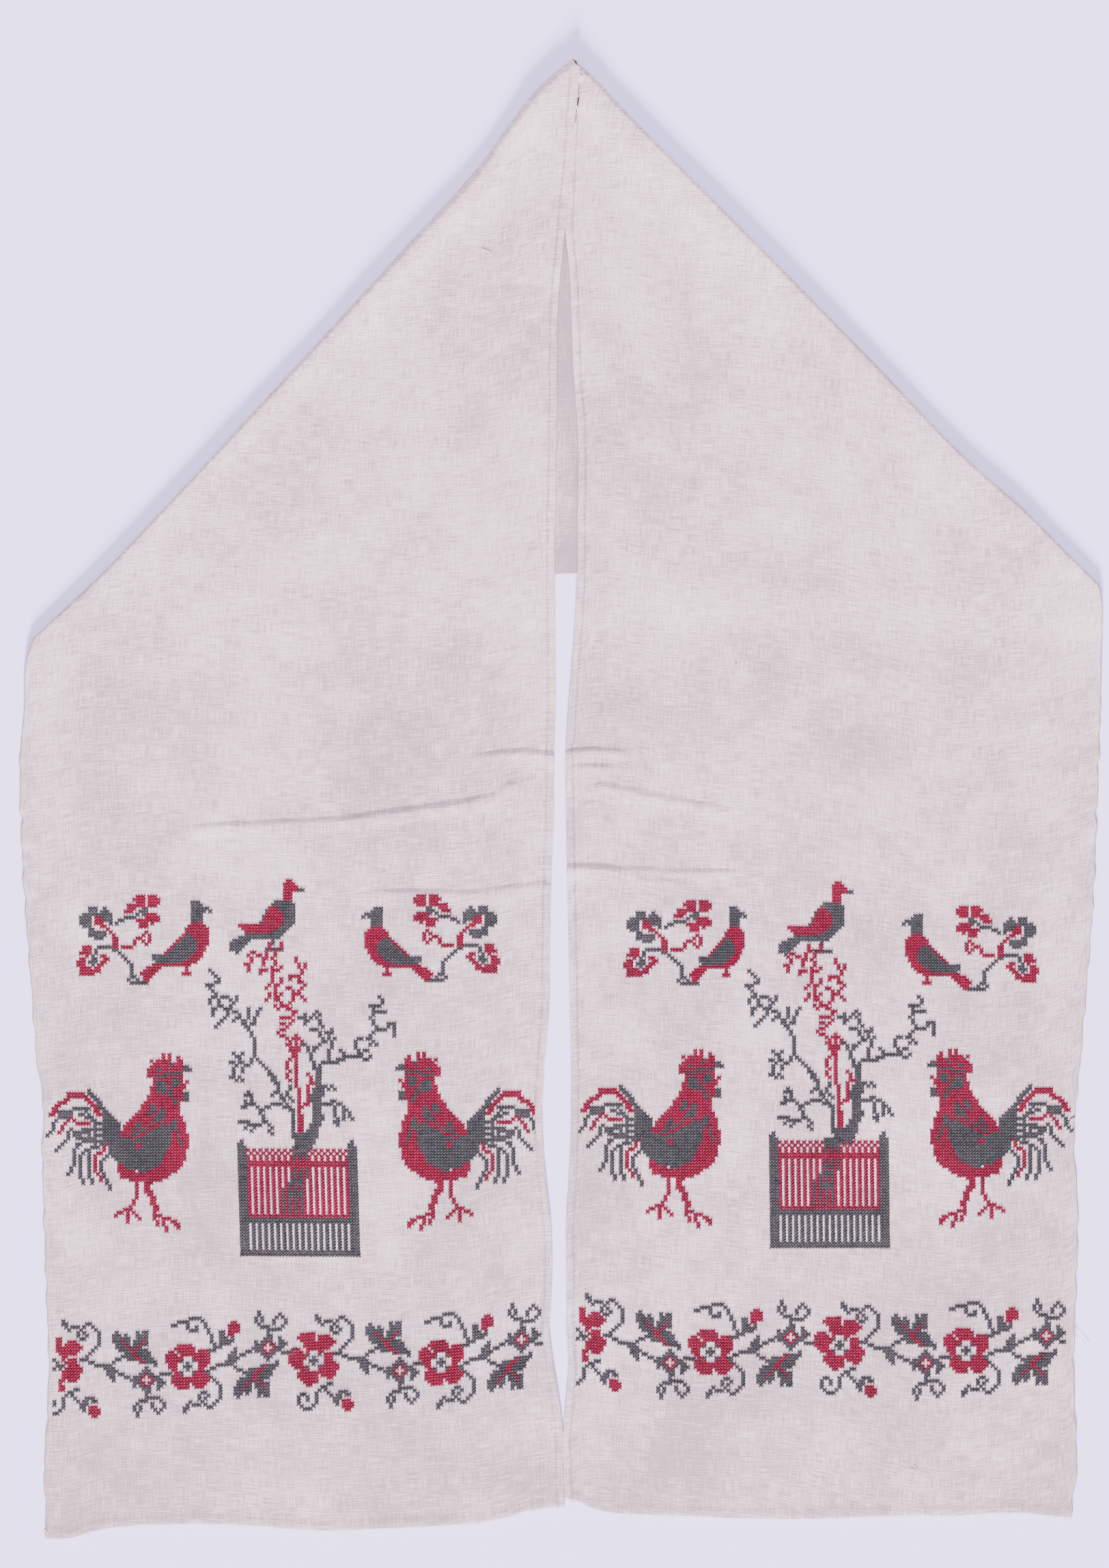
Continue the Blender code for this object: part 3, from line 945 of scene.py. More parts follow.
def stretched_noise(group, vector, stretch, scale, detail):
    """Noise drawn out along the cloth's width or length, as a slub in the yarn is."""
    mapping = new_node(group, "ShaderNodeMapping", scale=stretch)
    group.links.new(vector, mapping.inputs["Vector"])
    noise = new_node(group, "ShaderNodeTexNoise", scale=scale, detail=detail, roughness=0.55)
    group.links.new(mapping.outputs["Vector"], noise.inputs["Vector"])
    return noise.outputs["Fac"]


def toned_colour(group, total, start, end, low, high, **settings):
    """Gives the group's colour out: its dark where the total is low, and its light where it is high."""
    tone = new_node(group, "ShaderNodeMapRange", from_min=low, from_max=high, **settings)
    group.links.new(total, tone.inputs["Value"])
    mix = new_node(group, "ShaderNodeMix", data_type="RGBA")
    group.links.new(tone.outputs["Result"], mix.inputs["Factor"])
    group.links.new(start.outputs["Dark"], mix.inputs["A"])
    group.links.new(start.outputs["Light"], mix.inputs["B"])
    group.links.new(mix.outputs[2], end.inputs["Color"])


# The linen's noises: how each is drawn out, its scale and detail, and its share of the tone.
LINEN_NOISES = {
    "weft": ((0.06, 1.0, 1.0), 1250.0, 2.0, 0.85),
    "warp": ((1.0, 0.06, 1.0), 1250.0, 2.0, 0.75),
    "slub": ((0.12, 1.0, 1.0), 210.0, 4.0, 0.20),
    "stripe": ((1.0, 0.03, 1.0), 170.0, 3.0, 0.12),
    "mottle": ((1.0, 1.0, 1.0), 26.0, 6.0, 0.42),
    "cloud": ((1.0, 0.7, 1.0), 9.0, 3.0, 0.50),
}
LINEN_TONES = (1.08, 1.70)

# Painted shade on the linen: a darker line along the side hem's inner edge, and a darker band across the
# middle of the strip, where the crossing layer shows in the gap between the ends. For each, which way it
# lies, the input that says where, half its width in metres, and how dark.
LINEN_PAINTED_SHADES = (
    ("X", "Hem", 0.0014, -0.15),
    ("Y", "Middle", 0.035, -0.42),
)
# Painted shadow: a dark line along the selvedge, broken into dashes by the slub noise, in place of the
# shadow under its lifted scallops; how narrow it is per metre, and how dark.
SELVEDGE_NARROWNESS = 1100.0
SELVEDGE_PAINTED_SHADOW = -1.6
CENTRE_FADE = 12.0
END_DARKENING = -0.12
THREAD_WANDER = 3.0
THREAD_RELIEF = 0.22
GROUP_OUTPUTS = (("Color", "NodeSocketColor"), ("Height", "NodeSocketFloat"))


def weave_group():
    """Hand-woven linen: uneven threads both ways, soft mottling, painted shadow along the selvedge, painted
    shade along the side hem and across the strip's middle, and the height of the weave.
    """
    sockets = (
        ("Vector", "NodeSocketVector", None),
        ("Light", "NodeSocketColor", (1, 1, 1, 1)),
        ("Dark", "NodeSocketColor", (0, 0, 0, 1)),
        ("Thread", "NodeSocketFloat", 1100.0),
        ("Hem", "NodeSocketFloat", 0.3795),
        ("Middle", "NodeSocketFloat", 1.065),
    )
    group, start, end = new_group("Woven linen", sockets, GROUP_OUTPUTS)
    vector = start.outputs["Vector"]
    noises = {}
    total = 0.0
    for name, (stretch, scale, detail, share) in LINEN_NOISES.items():
        noises[name] = stretched_noise(group, vector, stretch, scale, detail)
        total = math_node(group, "MULTIPLY_ADD", noises[name], share, total)
    split = group.nodes.new("ShaderNodeSeparateXYZ")
    group.links.new(vector, split.inputs[0])
    # Painted shadow in dashes along the selvedge.
    edge = math_node(group, "MULTIPLY_ADD", split.outputs["X"], -SELVEDGE_NARROWNESS, 1.0)
    edge = math_node(group, "MULTIPLY", math_node(group, "MAXIMUM", edge, 0.0), noises["slub"])
    total = math_node(group, "MULTIPLY_ADD", edge, SELVEDGE_PAINTED_SHADOW, total)
    beyond = math_node(group, "SUBTRACT", start.outputs["Hem"], split.outputs["X"])
    inside = math_node(group, "MINIMUM", math_node(group, "MULTIPLY", beyond, CENTRE_FADE), 1.0)
    # Painted shade: darker linen along the side hem's inner edge, and across the strip's middle where the
    # crossing layer shows between the ends, fading out towards the side hem.
    for axis, middle, reach, share in LINEN_PAINTED_SHADES:
        away = math_node(group, "SUBTRACT", split.outputs[axis], start.outputs[middle])
        away = math_node(group, "ABSOLUTE", away, 0.0)
        near = math_node(group, "MAXIMUM", math_node(group, "MULTIPLY_ADD", away, -1 / reach, 1.0), 0.0)
        if axis == "Y":
            near = math_node(group, "MULTIPLY", near, math_node(group, "MAXIMUM", inside, 0.0))
            total = math_node(group, "MULTIPLY_ADD", away, END_DARKENING, total)
        total = math_node(group, "MULTIPLY_ADD", near, share, total)
    toned_colour(group, total, start, end, *LINEN_TONES, interpolation_type="SMOOTHSTEP")
    threads = []
    for axis, noise in (("X", noises["warp"]), ("Y", noises["weft"])):
        wander = math_node(group, "MULTIPLY", noise, THREAD_WANDER)
        place = math_node(group, "MULTIPLY", split.outputs[axis], start.outputs["Thread"])
        place = math_node(group, "MULTIPLY_ADD", place, 2 * math.pi, wander)
        threads.append(math_node(group, "SINE", place, 0.0))
    fine = math_node(group, "MAXIMUM", threads[0], threads[1])
    height = math_node(group, "MULTIPLY_ADD", fine, THREAD_RELIEF, total)
    group.links.new(height, end.inputs["Height"])
    return group


# The scales of the embroidery thread's noises, and its tones.
STITCH_SCALE = 330.0
PATCH_SCALE = 38.0
STRAND_SCALE = 2400.0
STITCH_SHARE = 0.9
FLOSS_TONES = (0.42, 0.98)


def floss_group():
    """Cotton embroidery thread: its tone drifts from stitch to stitch, with the fine lie of its strands."""
    sockets = (
        ("Vector", "NodeSocketVector", None),
        ("Light", "NodeSocketColor", (1, 1, 1, 1)),
        ("Dark", "NodeSocketColor", (0, 0, 0, 1)),
        ("Drift", "NodeSocketFloat", 0.5),
    )
    group, start, end = new_group("Cotton floss", sockets, GROUP_OUTPUTS)
    vector = start.outputs["Vector"]
    even = (1.0, 1.0, 1.0)
    stitch = stretched_noise(group, vector, even, STITCH_SCALE, 2.0)
    patch = stretched_noise(group, vector, even, PATCH_SCALE, 3.0)
    strand = stretched_noise(group, vector, even, STRAND_SCALE, 2.0)
    drift = math_node(group, "MULTIPLY", patch, start.outputs["Drift"])
    total = math_node(group, "MULTIPLY_ADD", stitch, STITCH_SHARE, drift)
    toned_colour(group, total, start, end, *FLOSS_TONES)
    group.links.new(strand, end.inputs["Height"])
    return group


SPECULAR_LEVEL = 0.12
SHEEN_ROUGHNESS = 0.5
BUMP_DISTANCE = 0.0004


def textile_material(name, group_maker, light, dark, coordinates, bump, roughness, sheen, **values):
    """A Principled material whose colour and bump come from a placed group."""
    material = bpy.data.materials.new(name)
    material.use_nodes = True
    tree = material.node_tree
    shader = tree.nodes["Principled BSDF"]
    shader.inputs["Roughness"].default_value = roughness
    shader.inputs["Specular IOR Level"].default_value = SPECULAR_LEVEL
    shader.inputs["Sheen Weight"].default_value = sheen
    shader.inputs["Sheen Roughness"].default_value = SHEEN_ROUGHNESS
    place = tree.nodes.new("ShaderNodeTexCoord")
    group = tree.nodes.new("ShaderNodeGroup")
    group.node_tree = bpy.data.node_groups.get(group_maker[0]) or group_maker[1]()
    tree.links.new(place.outputs[coordinates], group.inputs["Vector"])
    group.inputs["Light"].default_value = (*light, 1.0)
    group.inputs["Dark"].default_value = (*dark, 1.0)
    for label, value in values.items():
        group.inputs[label.title()].default_value = value
    tree.links.new(group.outputs["Color"], shader.inputs["Base Color"])
    bumps = new_node(tree, "ShaderNodeBump", strength=bump, distance=BUMP_DISTANCE)
    tree.links.new(group.outputs["Height"], bumps.inputs["Height"])
    tree.links.new(bumps.outputs["Normal"], shader.inputs["Normal"])
    return material


def linen_material():
    """The cloth's material, which follows its own UV map."""
    colours = bpy.context.scene.towel_colours
    weave = ("Woven linen", weave_group)
    finish = {"bump": 0.55, "roughness": 0.92, "sheen": 0.15}
    return textile_material("linen", weave, colours.linen_light, colours.linen_dark, "UV", **finish)


def thread_material(name, light, dark, drift):
    """A sewing thread's material."""
    floss = ("Cotton floss", floss_group)
    finish = {"bump": 0.35, "roughness": 0.8, "sheen": 0.0}
    return textile_material(name, floss, light, dark, "Object", **finish, drift=drift)


# Charts and stitches.


def path_of(text):
    """The places that a motif's row names."""
    return [tuple(int(number) for number in pair.split(",")) for pair in text.split()]


def line_cells(path):
    """The stitches along a path, corner to corner."""
    cells = []
    for (x0, y0), (x1, y1) in zip(path, path[1:]):
        count = max(abs(x1 - x0), abs(y1 - y0), 1)
        for step in range(count + 1):
            part = step / count
            cells.append((math.floor(x0 + (x1 - x0) * part + 0.5), math.floor(y0 + (y1 - y0) * part + 0.5)))
    return cells


def area_cells(path):
    """The stitches inside an outline, with the outline itself."""
    outline = path + path[:1]
    cells = line_cells(outline)
    low = min(y for _, y in path)
    high = max(y for _, y in path)
    for y in range(low, high + 1):
        crossings = []
        for (x0, y0), (x1, y1) in zip(outline, outline[1:]):
            if min(y0, y1) <= y < max(y0, y1):
                crossings.append(x0 + (x1 - x0) * (y - y0) / (y1 - y0))
        crossings.sort()
        for left, right in zip(crossings[::2], crossings[1::2]):
            cells += [(x, y) for x in range(math.ceil(left), math.floor(right) + 1)]
    return cells


def widened(cells, count):
    """The cells with their right, and then upper, neighbours."""
    beside = ((0, 0), (1, 0), (0, 1))[:count]
    return [(x + right, y + up) for x, y in cells for right, up in beside]


def block_cells(path, step=1):
    """The stitches from a block's lower left to its upper right corner, in each of its columns or fewer."""
    (left, low), (right, high) = path
    return [(x, y) for x in range(left, right + 1, step) for y in range(low, high + 1)]


FORMS = {
    "line": line_cells,
    "band": lambda path: widened(line_cells(path), 2),
    "bar": lambda path: widened(line_cells(path), 3),
    "area": area_cells,
    "block": block_cells,
    "paling": lambda path: block_cells(path, 2),
}


def chart_of(rows):
    """{cell: thread} of a motif's rows, each row worked over those before it."""
    chart = {}
    for thread, form, places in rows:
        for cell in FORMS[form](path_of(places)):
            chart.pop(cell, None)
            if thread != "open":
                chart[cell] = thread
    return chart


def pictured(rows, middle):
    """{cell: thread} of a motif drawn row by row, counted from its middle."""
    threads = {"r": "red", "g": "grey"}
    chart = {}
    for down, row in enumerate(rows):
        for right, mark in enumerate(row):
            if mark in threads:
                chart[right - middle[0], middle[1] - down] = threads[mark]
    return chart


def shifted(chart, right, up, flip_x=False, flip_y=False):
    """A chart moved, and turned over sideways or upside down about its own start."""
    moved = {}
    for (x, y), thread in chart.items():
        moved[(-x if flip_x else x) + right, (-y if flip_y else y) + up] = thread
    return moved


def mirrored(chart):
    """A chart turned over sideways within its own width."""
    widest = max(x for x, _ in chart)
    return shifted(chart, widest, 0, flip_x=True)


def border_charts(side):
    """The rose border of one end, rose by rose: each with its garland, turned over for every other one."""
    garland = shifted(pictured(GARLAND, GARLAND_MIDDLE), *GARLAND_SHIFT[side])
    turned = shifted(pictured(GARLAND, GARLAND_MIDDLE), *TURNED_GARLAND_SHIFT, flip_y=True)
    high_bud = shifted(pictured(HIGH_BUD, HIGH_BUD_MIDDLE), *BUD_SHIFT)
    low_bud = shifted(pictured(LOW_BUD, LOW_BUD_MIDDLE), *LOW_BUD_SHIFT[side])
    low, high = BORDER_LIMITS[side]
    charts = []
    for rose, *_ in BORDER_ROSES.rows():
        chart = dict(turned if rose % 2 else garland)
        chart.update(high_bud if rose % 2 else low_bud)
        if rose == 0:
            chart.update(pictured(HALF_ROSE, HALF_ROSE_MIDDLE))
            chart = {cell: thread for cell, thread in chart.items() if cell[0] >= low}
        else:
            petals = (ROSE, ROSE_MIDDLE) if rose % 2 else (TURNED_ROSE, TURNED_ROSE_MIDDLE)
            chart.update(pictured(*petals))
        if rose == BORDER_ROSES.values["rose"][-1]:
            chart = {cell: thread for cell, thread in chart.items() if cell[0] <= high}
        start = (float(BORDER_ROSES.read(f"{side}_x", rose)), float(BORDER_ROSES.read(f"{side}_y", rose)))
        charts.append((chart, side, start, (BORDER_SLOPES[side][int(rose)], 0.0, 1.0, 1.0)))
    return charts


def worked_charts():
    """Every chart with its end, its start in millimetres, and its slope, lean and stretch both ways."""
    rooster = chart_of(ROOSTER)
    top_bird = chart_of(TOP_BIRD)
    side_bird = chart_of(SIDE_BIRD)
    branch = chart_of(BRANCH)
    tree = chart_of(TREE)
    fence = chart_of(FENCE)
    level = (0.0, 0.0, 1.0, 1.0)
    return (
        (rooster, "left", (-377.9, -315.7), level),
        (mirrored(rooster), "left", (-119.9, -314.7), level),
        (tree, "left", (-270.0, -264.5), level),
        (fence, "left", (-233.4, -333.0), (-0.006, -0.030, 1.03, 1.0)),
        (top_bird, "left", (-241.4, -112.2), level),
        (side_bird, "left", (-308.9, -132.2), level),
        (branch, "left", (-353.4, -136.7), level),
        (mirrored(side_bird), "left", (-144.8, -132.3), (0.0, 0.0, 1.0, 0.92)),
        (mirrored(branch), "left", (-106.9, -134.6), (0.0, 0.0, 1.04, 0.975)),
        *border_charts("left"),
        (rooster, "right", (11.1, -312.7), level),
        (mirrored(rooster), "right", (269.1, -312.2), level),
        (tree, "right", (124.6, -260.3), (0.0, 0.0, 1.0, 0.965)),
        (fence, "right", (154.1, -327.2), (0.0, -0.012, 1.03, 1.0)),
        (top_bird, "right", (160.2, -113.7), level),
        (side_bird, "right", (93.3, -133.0), (0.0, 0.0, 0.79, 0.94)),
        (branch, "right", (46.7, -137.0), (0.0, 0.0, 1.06, 0.945)),
        (mirrored(side_bird), "right", (250.7, -138.6), (0.0, 0.0, 0.97, 0.94)),
        (mirrored(branch), "right", (290.2, -141.2), (0.0, 0.0, 0.99, 0.946)),
        *border_charts("right"),
    )


# Loose ends and slubs, and grey-thread legs that are painted shadow at the point: each a short thread from
# one place to the next, with its width and its height.
LOOSE_ENDS_AND_PAINTED_SHADOWS = Table(
    "grey right from_x from_y to_x to_y width height lift",
    (1, 1, 376.1, -231.5, 372.0, -234.0, 0.9, 0.6, 0.05),
    (1, 1, 372.0, -234.0, 370.5, -238.5, 0.8, 0.6, 0.05),
    (0, 1, 374.6, -388.7, 380.5, -394.0, 0.4, 0.4, 0.05),
    (0, 1, 380.5, -394.0, 387.1, -402.2, 0.4, 0.4, 0.05),
    (0, 1, 127.2, 98.0, 128.4, 98.6, 1.5, 0.9, 0.05),
    (0, 0, -59.4, 403.2, -49.9, 399.2, 0.8, 0.5, 0.05),
    (0, 0, -378.4, -532.8, -375.4, -537.2, 1.3, 1.0, 0.05),
    (0, 1, 258.0, -486.0, 261.0, -492.0, 0.6, 0.4, 0.05),
    (0, 1, 255.0, -489.0, 259.5, -491.0, 0.6, 0.4, 0.05),
    # Painted shadow: grey-thread legs in the dark opening of the nub at the point.
    (1, 0, 8.9, 540.4, 10.6, 538.4, 0.6, 0.3, 4.0),
    (1, 0, 10.1, 539.2, 12.6, 534.7, 1.7, 0.35, 4.95),
    (0, 0, 11.0, 539.2, 13.1, 535.6, 1.2, 0.5, 4.9),
    # Painted shadow: grey-thread legs in a dark dash by the point and in the dark slit where the left end's
    # lifted edge lies over the right end.
    (1, 1, 14.2, 530.4, 15.7, 527.6, 0.6, 0.3, 5.1),
    (1, 1, 12.9, 514.0, 11.7, 505.5, 1.2, 0.3, 3.9),
    (1, 1, 13.4, 523.0, 12.6, 513.0, 0.5, 0.3, 4.8),
    (1, 1, 11.6, 506.0, 10.3, 493.0, 0.5, 0.3, 2.6),
)

# The hem stitches: how far apart they are, their slant, width and height, where they run and how they vary.
HEM_STITCH_STEP = 4.2
HEM_STITCH_REACH = (1.3, 1.6)
HEM_STITCH_WIDTH = 0.55
HEM_STITCH_HEIGHT = 0.25
HEM_STITCH_INSET = 0.3
HEM_STITCH_MARGIN = 3.0
SIDE_STITCHES_START = 12.0
SIDE_STITCHES_TOP = 500.0
HEM_STITCH_STRAY = 0.25
HEM_STITCH_VARIETY = 0.12


def loose_end_and_shadow_points(grey):
    """The legs of the loose ends of the grey thread, with its legs of painted shadow at the point, or of the
    linen, each on its own end of the cloth.
    """
    legs = []
    for of_grey, right, *places, width, height, lift in LOOSE_ENDS_AND_PAINTED_SHADOWS.rows():
        if of_grey == grey:
            side = "right" if right else "left"
            starts, ends = np.array([places[:2]]), np.array([places[2:]])
            legs.append(leg_points(side, starts, ends, np.array([width]), height, lift))
    return np.concatenate(legs)


def hem_points(side, chance):
    """The small slanting stitches along an end's lower hem and its side hem."""
    sizes = bpy.context.scene.towel_cloth_sizes
    width = sizes.width / MM
    up = sizes.hem_width / MM + HEM_STITCH_INSET
    across = np.arange(HEM_STITCH_MARGIN, width - HEM_STITCH_MARGIN, HEM_STITCH_STEP) / width
    lower = end_row(side, HEM_LINE + up, HEM_LINE + up, across)[:, :2]
    heights = np.arange(HEM_LINE + SIDE_STITCHES_START, SIDE_STITCHES_TOP, HEM_STITCH_STEP)
    inward = -SIDES[side]["inward"] * up
    beside = np.column_stack((INNER_EDGES.read(side, heights) + inward, heights))
    legs = []
    for places, reach in ((lower, HEM_STITCH_REACH), (beside, HEM_STITCH_REACH[::-1])):
        places = places + chance.normal(0.0, HEM_STITCH_STRAY, places.shape)
        half = np.array(reach) / 2
        size = HEM_STITCH_WIDTH * (1 + chance.normal(0.0, HEM_STITCH_VARIETY, len(places)))
        legs.append(leg_points(side, places - half, places + half, size, HEM_STITCH_HEIGHT, 0.0))
    return np.concatenate(legs)


# One leg of a stitch: how far along it each section lies and how full it is there, and the section's
# corners, as shares of its width and its height.
LEG_SECTIONS = ((0.14, 0.92), (0.86, 0.92))
LEG_CORNERS = ((-0.5, 0.35), (0.0, 1.0), (0.5, 0.35), (0.0, -0.1))
LEG_POINTS = 2 + len(LEG_CORNERS) * len(LEG_SECTIONS)
LEG_ENDS_SUNK = 0.05
UPPER_LEG_LIFT = 0.22
UNEVENNESS = 0.07
STITCH_SEED = 11

# How much fuller each thread lies in a cross alone, in a strip and in an area, and how far one alone
# spreads. A cross is in a strip, or in an area, from so many worked neighbours on, and fully so with the
# span more.
FULLNESS = {"red": (0.14, 0.06, 0.12), "grey": (0.14, -0.16, 0.10)}
LONELY_SPREAD = 0.42
STRIP_FROM = 3
STRIP_SPAN = 4
AREA_FROM = 13
AREA_SPAN = 8


def leg_faces():
    """The faces of one leg: a point, two square sections and a point."""
    faces = []
    around = len(LEG_CORNERS)
    for corner in range(around):
        first, first_after = 1 + corner, 1 + (corner + 1) % around
        second, second_after = first + around, first_after + around
        faces.append((0, first, first_after))
        faces.append((first, second, second_after, first_after))
        faces.append((second, LEG_POINTS - 1, second_after))
    return faces


def leg_points(side, starts, ends, width, height, lift):
    """The points of many legs laid on an end of the cloth, in millimetres."""
    cloth = bpy.context.scene.towel_cloth_sizes.thickness / MM
    run = ends - starts
    beside = np.column_stack((-run[:, 1], run[:, 0])) / np.linalg.norm(run, axis=1)[:, None]
    points = np.empty((len(starts), LEG_POINTS, 3))

    def ground(places):
        return laid_height(side, places[:, 0], places[:, 1]) + cloth

    for index, places in ((0, starts), (LEG_POINTS - 1, ends)):
        points[:, index, :2] = places
        points[:, index, 2] = ground(places) - LEG_ENDS_SUNK
    for number, (along, fullness) in enumerate(LEG_SECTIONS):
        middle = starts + run * along
        base = ground(middle) + lift
        for corner, (out, up) in enumerate(LEG_CORNERS):
            at = 1 + len(LEG_CORNERS) * number + corner
            points[:, at, :2] = middle + beside * (out * fullness * width)[:, None]
            points[:, at, 2] = base + up * height
    return points


def stitch_object(name, points, material):
    """One mesh of many legs, each with its own points."""
    pattern = leg_faces()
    count = points.shape[0] * points.shape[1]
    faces = []
    for first in range(0, count, points.shape[1]):
        faces += [tuple(first + corner for corner in face) for face in pattern]
    mesh = bpy.data.meshes.new(name)
    mesh.from_pydata((points.reshape(-1, 3) * MM).tolist(), [], faces)
    piece = bpy.data.objects.new(name, mesh)
    bpy.context.scene.collection.objects.link(piece)
    tidy = bmesh.new()
    tidy.from_mesh(mesh)
    bmesh.ops.recalc_face_normals(tidy, faces=tidy.faces)
    tidy.to_mesh(mesh)
    tidy.free()
    mesh.shade_smooth()
    mesh.materials.append(material)
    return piece


def fullness_of(cells, chart):
    """How full each cross lies, alone, in a strip or in an area, and how far it spreads."""
    among = np.clip((neighbours(cells, chart, 1) - STRIP_FROM) / STRIP_SPAN, 0.0, 1.0)
    massed = np.clip((neighbours(cells, chart, 2) - AREA_FROM) / AREA_SPAN, 0.0, 1.0)
    alone, strip, area = FULLNESS[chart[cells[0]]]
    fullness = 1 + alone * (1 - among) + among * (strip * (1 - massed) + area * massed)
    return fullness, 1 + LONELY_SPREAD * (1 - among)


def neighbours(cells, chart, reach):
    """How many worked cells lie around each of these, as far as the reach."""
    steps = range(-reach, reach + 1)
    around = [(right, up) for right in steps for up in steps if (right, up) != (0, 0)]
    return np.array([sum((x + right, y + up) in chart for right, up in around) for x, y in cells])


def cross_points(cells, chart, side, start, lie, chance):
    """Both legs of every cross of one thread in one chart."""
    sizes = bpy.context.scene.towel_stitch_sizes
    pitch = sizes.pitch / MM
    slope, lean, stretch, rise = lie
    fullness, spread = fullness_of(cells, chart)
    grid = np.array(cells, float)
    middle = np.column_stack((grid[:, 0] * stretch, grid[:, 1] * rise)) * pitch
    shift = np.column_stack((lean * middle[:, 1], slope * middle[:, 0]))
    places = middle + shift + start
    half = pitch * sizes.reach * spread / 2
    legs = []
    for lift, turn in ((0.0, -1.0), (UPPER_LEG_LIFT, 1.0)):
        reach = np.column_stack((half, turn * half))
        loose = chance.normal(0.0, UNEVENNESS, (2, len(places), 2))
        width = sizes.thread_width / MM * fullness * (1 + chance.normal(0.0, UNEVENNESS, len(places)))
        height = sizes.thread_height / MM
        starts = places - reach + loose[0]
        ends = places + reach + loose[1]
        legs.append(leg_points(side, starts, ends, width, height, lift))
    return np.concatenate(legs)


# The add-on.


# The stage: each light's place and size, the floor's side, the room's colour and strength, and the lens.
LIGHTS = (
    ("low_light", (-0.3, -12.7, 3.25), 2.0),
    ("overhead_light", (0.1, 2.1, 3.0), 2.4),
)
FLOOR_SIDE = 8.0
ROOM_COLOUR = (0.95, 0.95, 1.0, 1.0)
ROOM_STRENGTH = 1.25
SENSOR_HEIGHT = 36.0
FOCAL_LENGTH = 80.0
CAMERA_PLACE = (-0.0049, 0.01125)


class TowelClothSizes(bpy.types.PropertyGroup):
    """Sizes of the cloth and its hems."""

    width: bpy.props.FloatProperty(
        name="Width", description="Width of the woven strip", default=0.385, unit="LENGTH"
    )
    thickness: bpy.props.FloatProperty(
        name="Thickness", description="Thickness of one layer of linen",
        default=0.0007, unit="LENGTH", precision=5
    )
    hem_width: bpy.props.FloatProperty(
        name="Hem width", description="Width of the side hem and of the end hems",
        default=0.0055, unit="LENGTH"
    )
    hem_thickness: bpy.props.FloatProperty(
        name="Hem thickness", description="Thickness of the folded hems",
        default=0.0014, unit="LENGTH", precision=5
    )


class TowelStitchSizes(bpy.types.PropertyGroup):
    """Sizes of the cross-stitch."""

    pitch: bpy.props.FloatProperty(
        name="Stitch", description="Distance from one cross to the next",
        default=0.002175, unit="LENGTH", precision=6
    )
    reach: bpy.props.FloatProperty(
        name="Reach", description="Side of a cross as a share of that distance",
        default=1.10, subtype="FACTOR"
    )
    thread_width: bpy.props.FloatProperty(
        name="Thread width", description="Width of one leg of a cross",
        default=0.00116, unit="LENGTH", precision=5
    )
    thread_height: bpy.props.FloatProperty(
        name="Thread height", description="Height of one leg over the cloth",
        default=0.00042, unit="LENGTH", precision=5
    )


def colour_property(name, description, default):
    return bpy.props.FloatVectorProperty(
        name=name, description=description, default=default, size=3, min=0.0, max=1.0, subtype="COLOR"
    )


class TowelColours(bpy.types.PropertyGroup):
    """Colours of the linen, the threads and the floor."""

    linen_light: colour_property("Linen, light", "Linen that catches the light", (0.70, 0.505, 0.58))
    # The darker linen is also the colour of the painted shade along the side hem and across the strip's
    # middle, and of the painted shadow along the selvedge.
    linen_dark: colour_property("Linen, dark", "Linen between its threads", (0.31, 0.215, 0.255))
    red_light: colour_property("Red, light", "Red thread where it is bright", (0.185, 0.001, 0.025))
    red_dark: colour_property("Red, dark", "Red thread where it is deep", (0.080, 0.001, 0.012))
    # The grey thread's colours also paint the shadows in the nub's opening and along the slit at the point.
    grey_light: colour_property("Grey, light", "Grey thread where it has faded", (0.039, 0.036, 0.044))
    grey_dark: colour_property("Grey, dark", "Grey thread where it is deep", (0.014, 0.013, 0.017))
    floor: colour_property("Floor", "The plain floor under the towel", (0.68, 0.575, 0.99))


class TowelStageSizes(bpy.types.PropertyGroup):
    """The stage: its camera and lights."""

    camera_height: bpy.props.FloatProperty(
        name="Camera height", description="How far above the floor the camera hangs",
        default=2.55, unit="LENGTH"
    )
    low_light: bpy.props.FloatProperty(
        name="Low light", description="Power of the low light beyond the ends",
        default=15000.0, unit="POWER"
    )
    overhead_light: bpy.props.FloatProperty(
        name="Overhead light", description="Power of the soft light overhead",
        default=165.0, unit="POWER"
    )


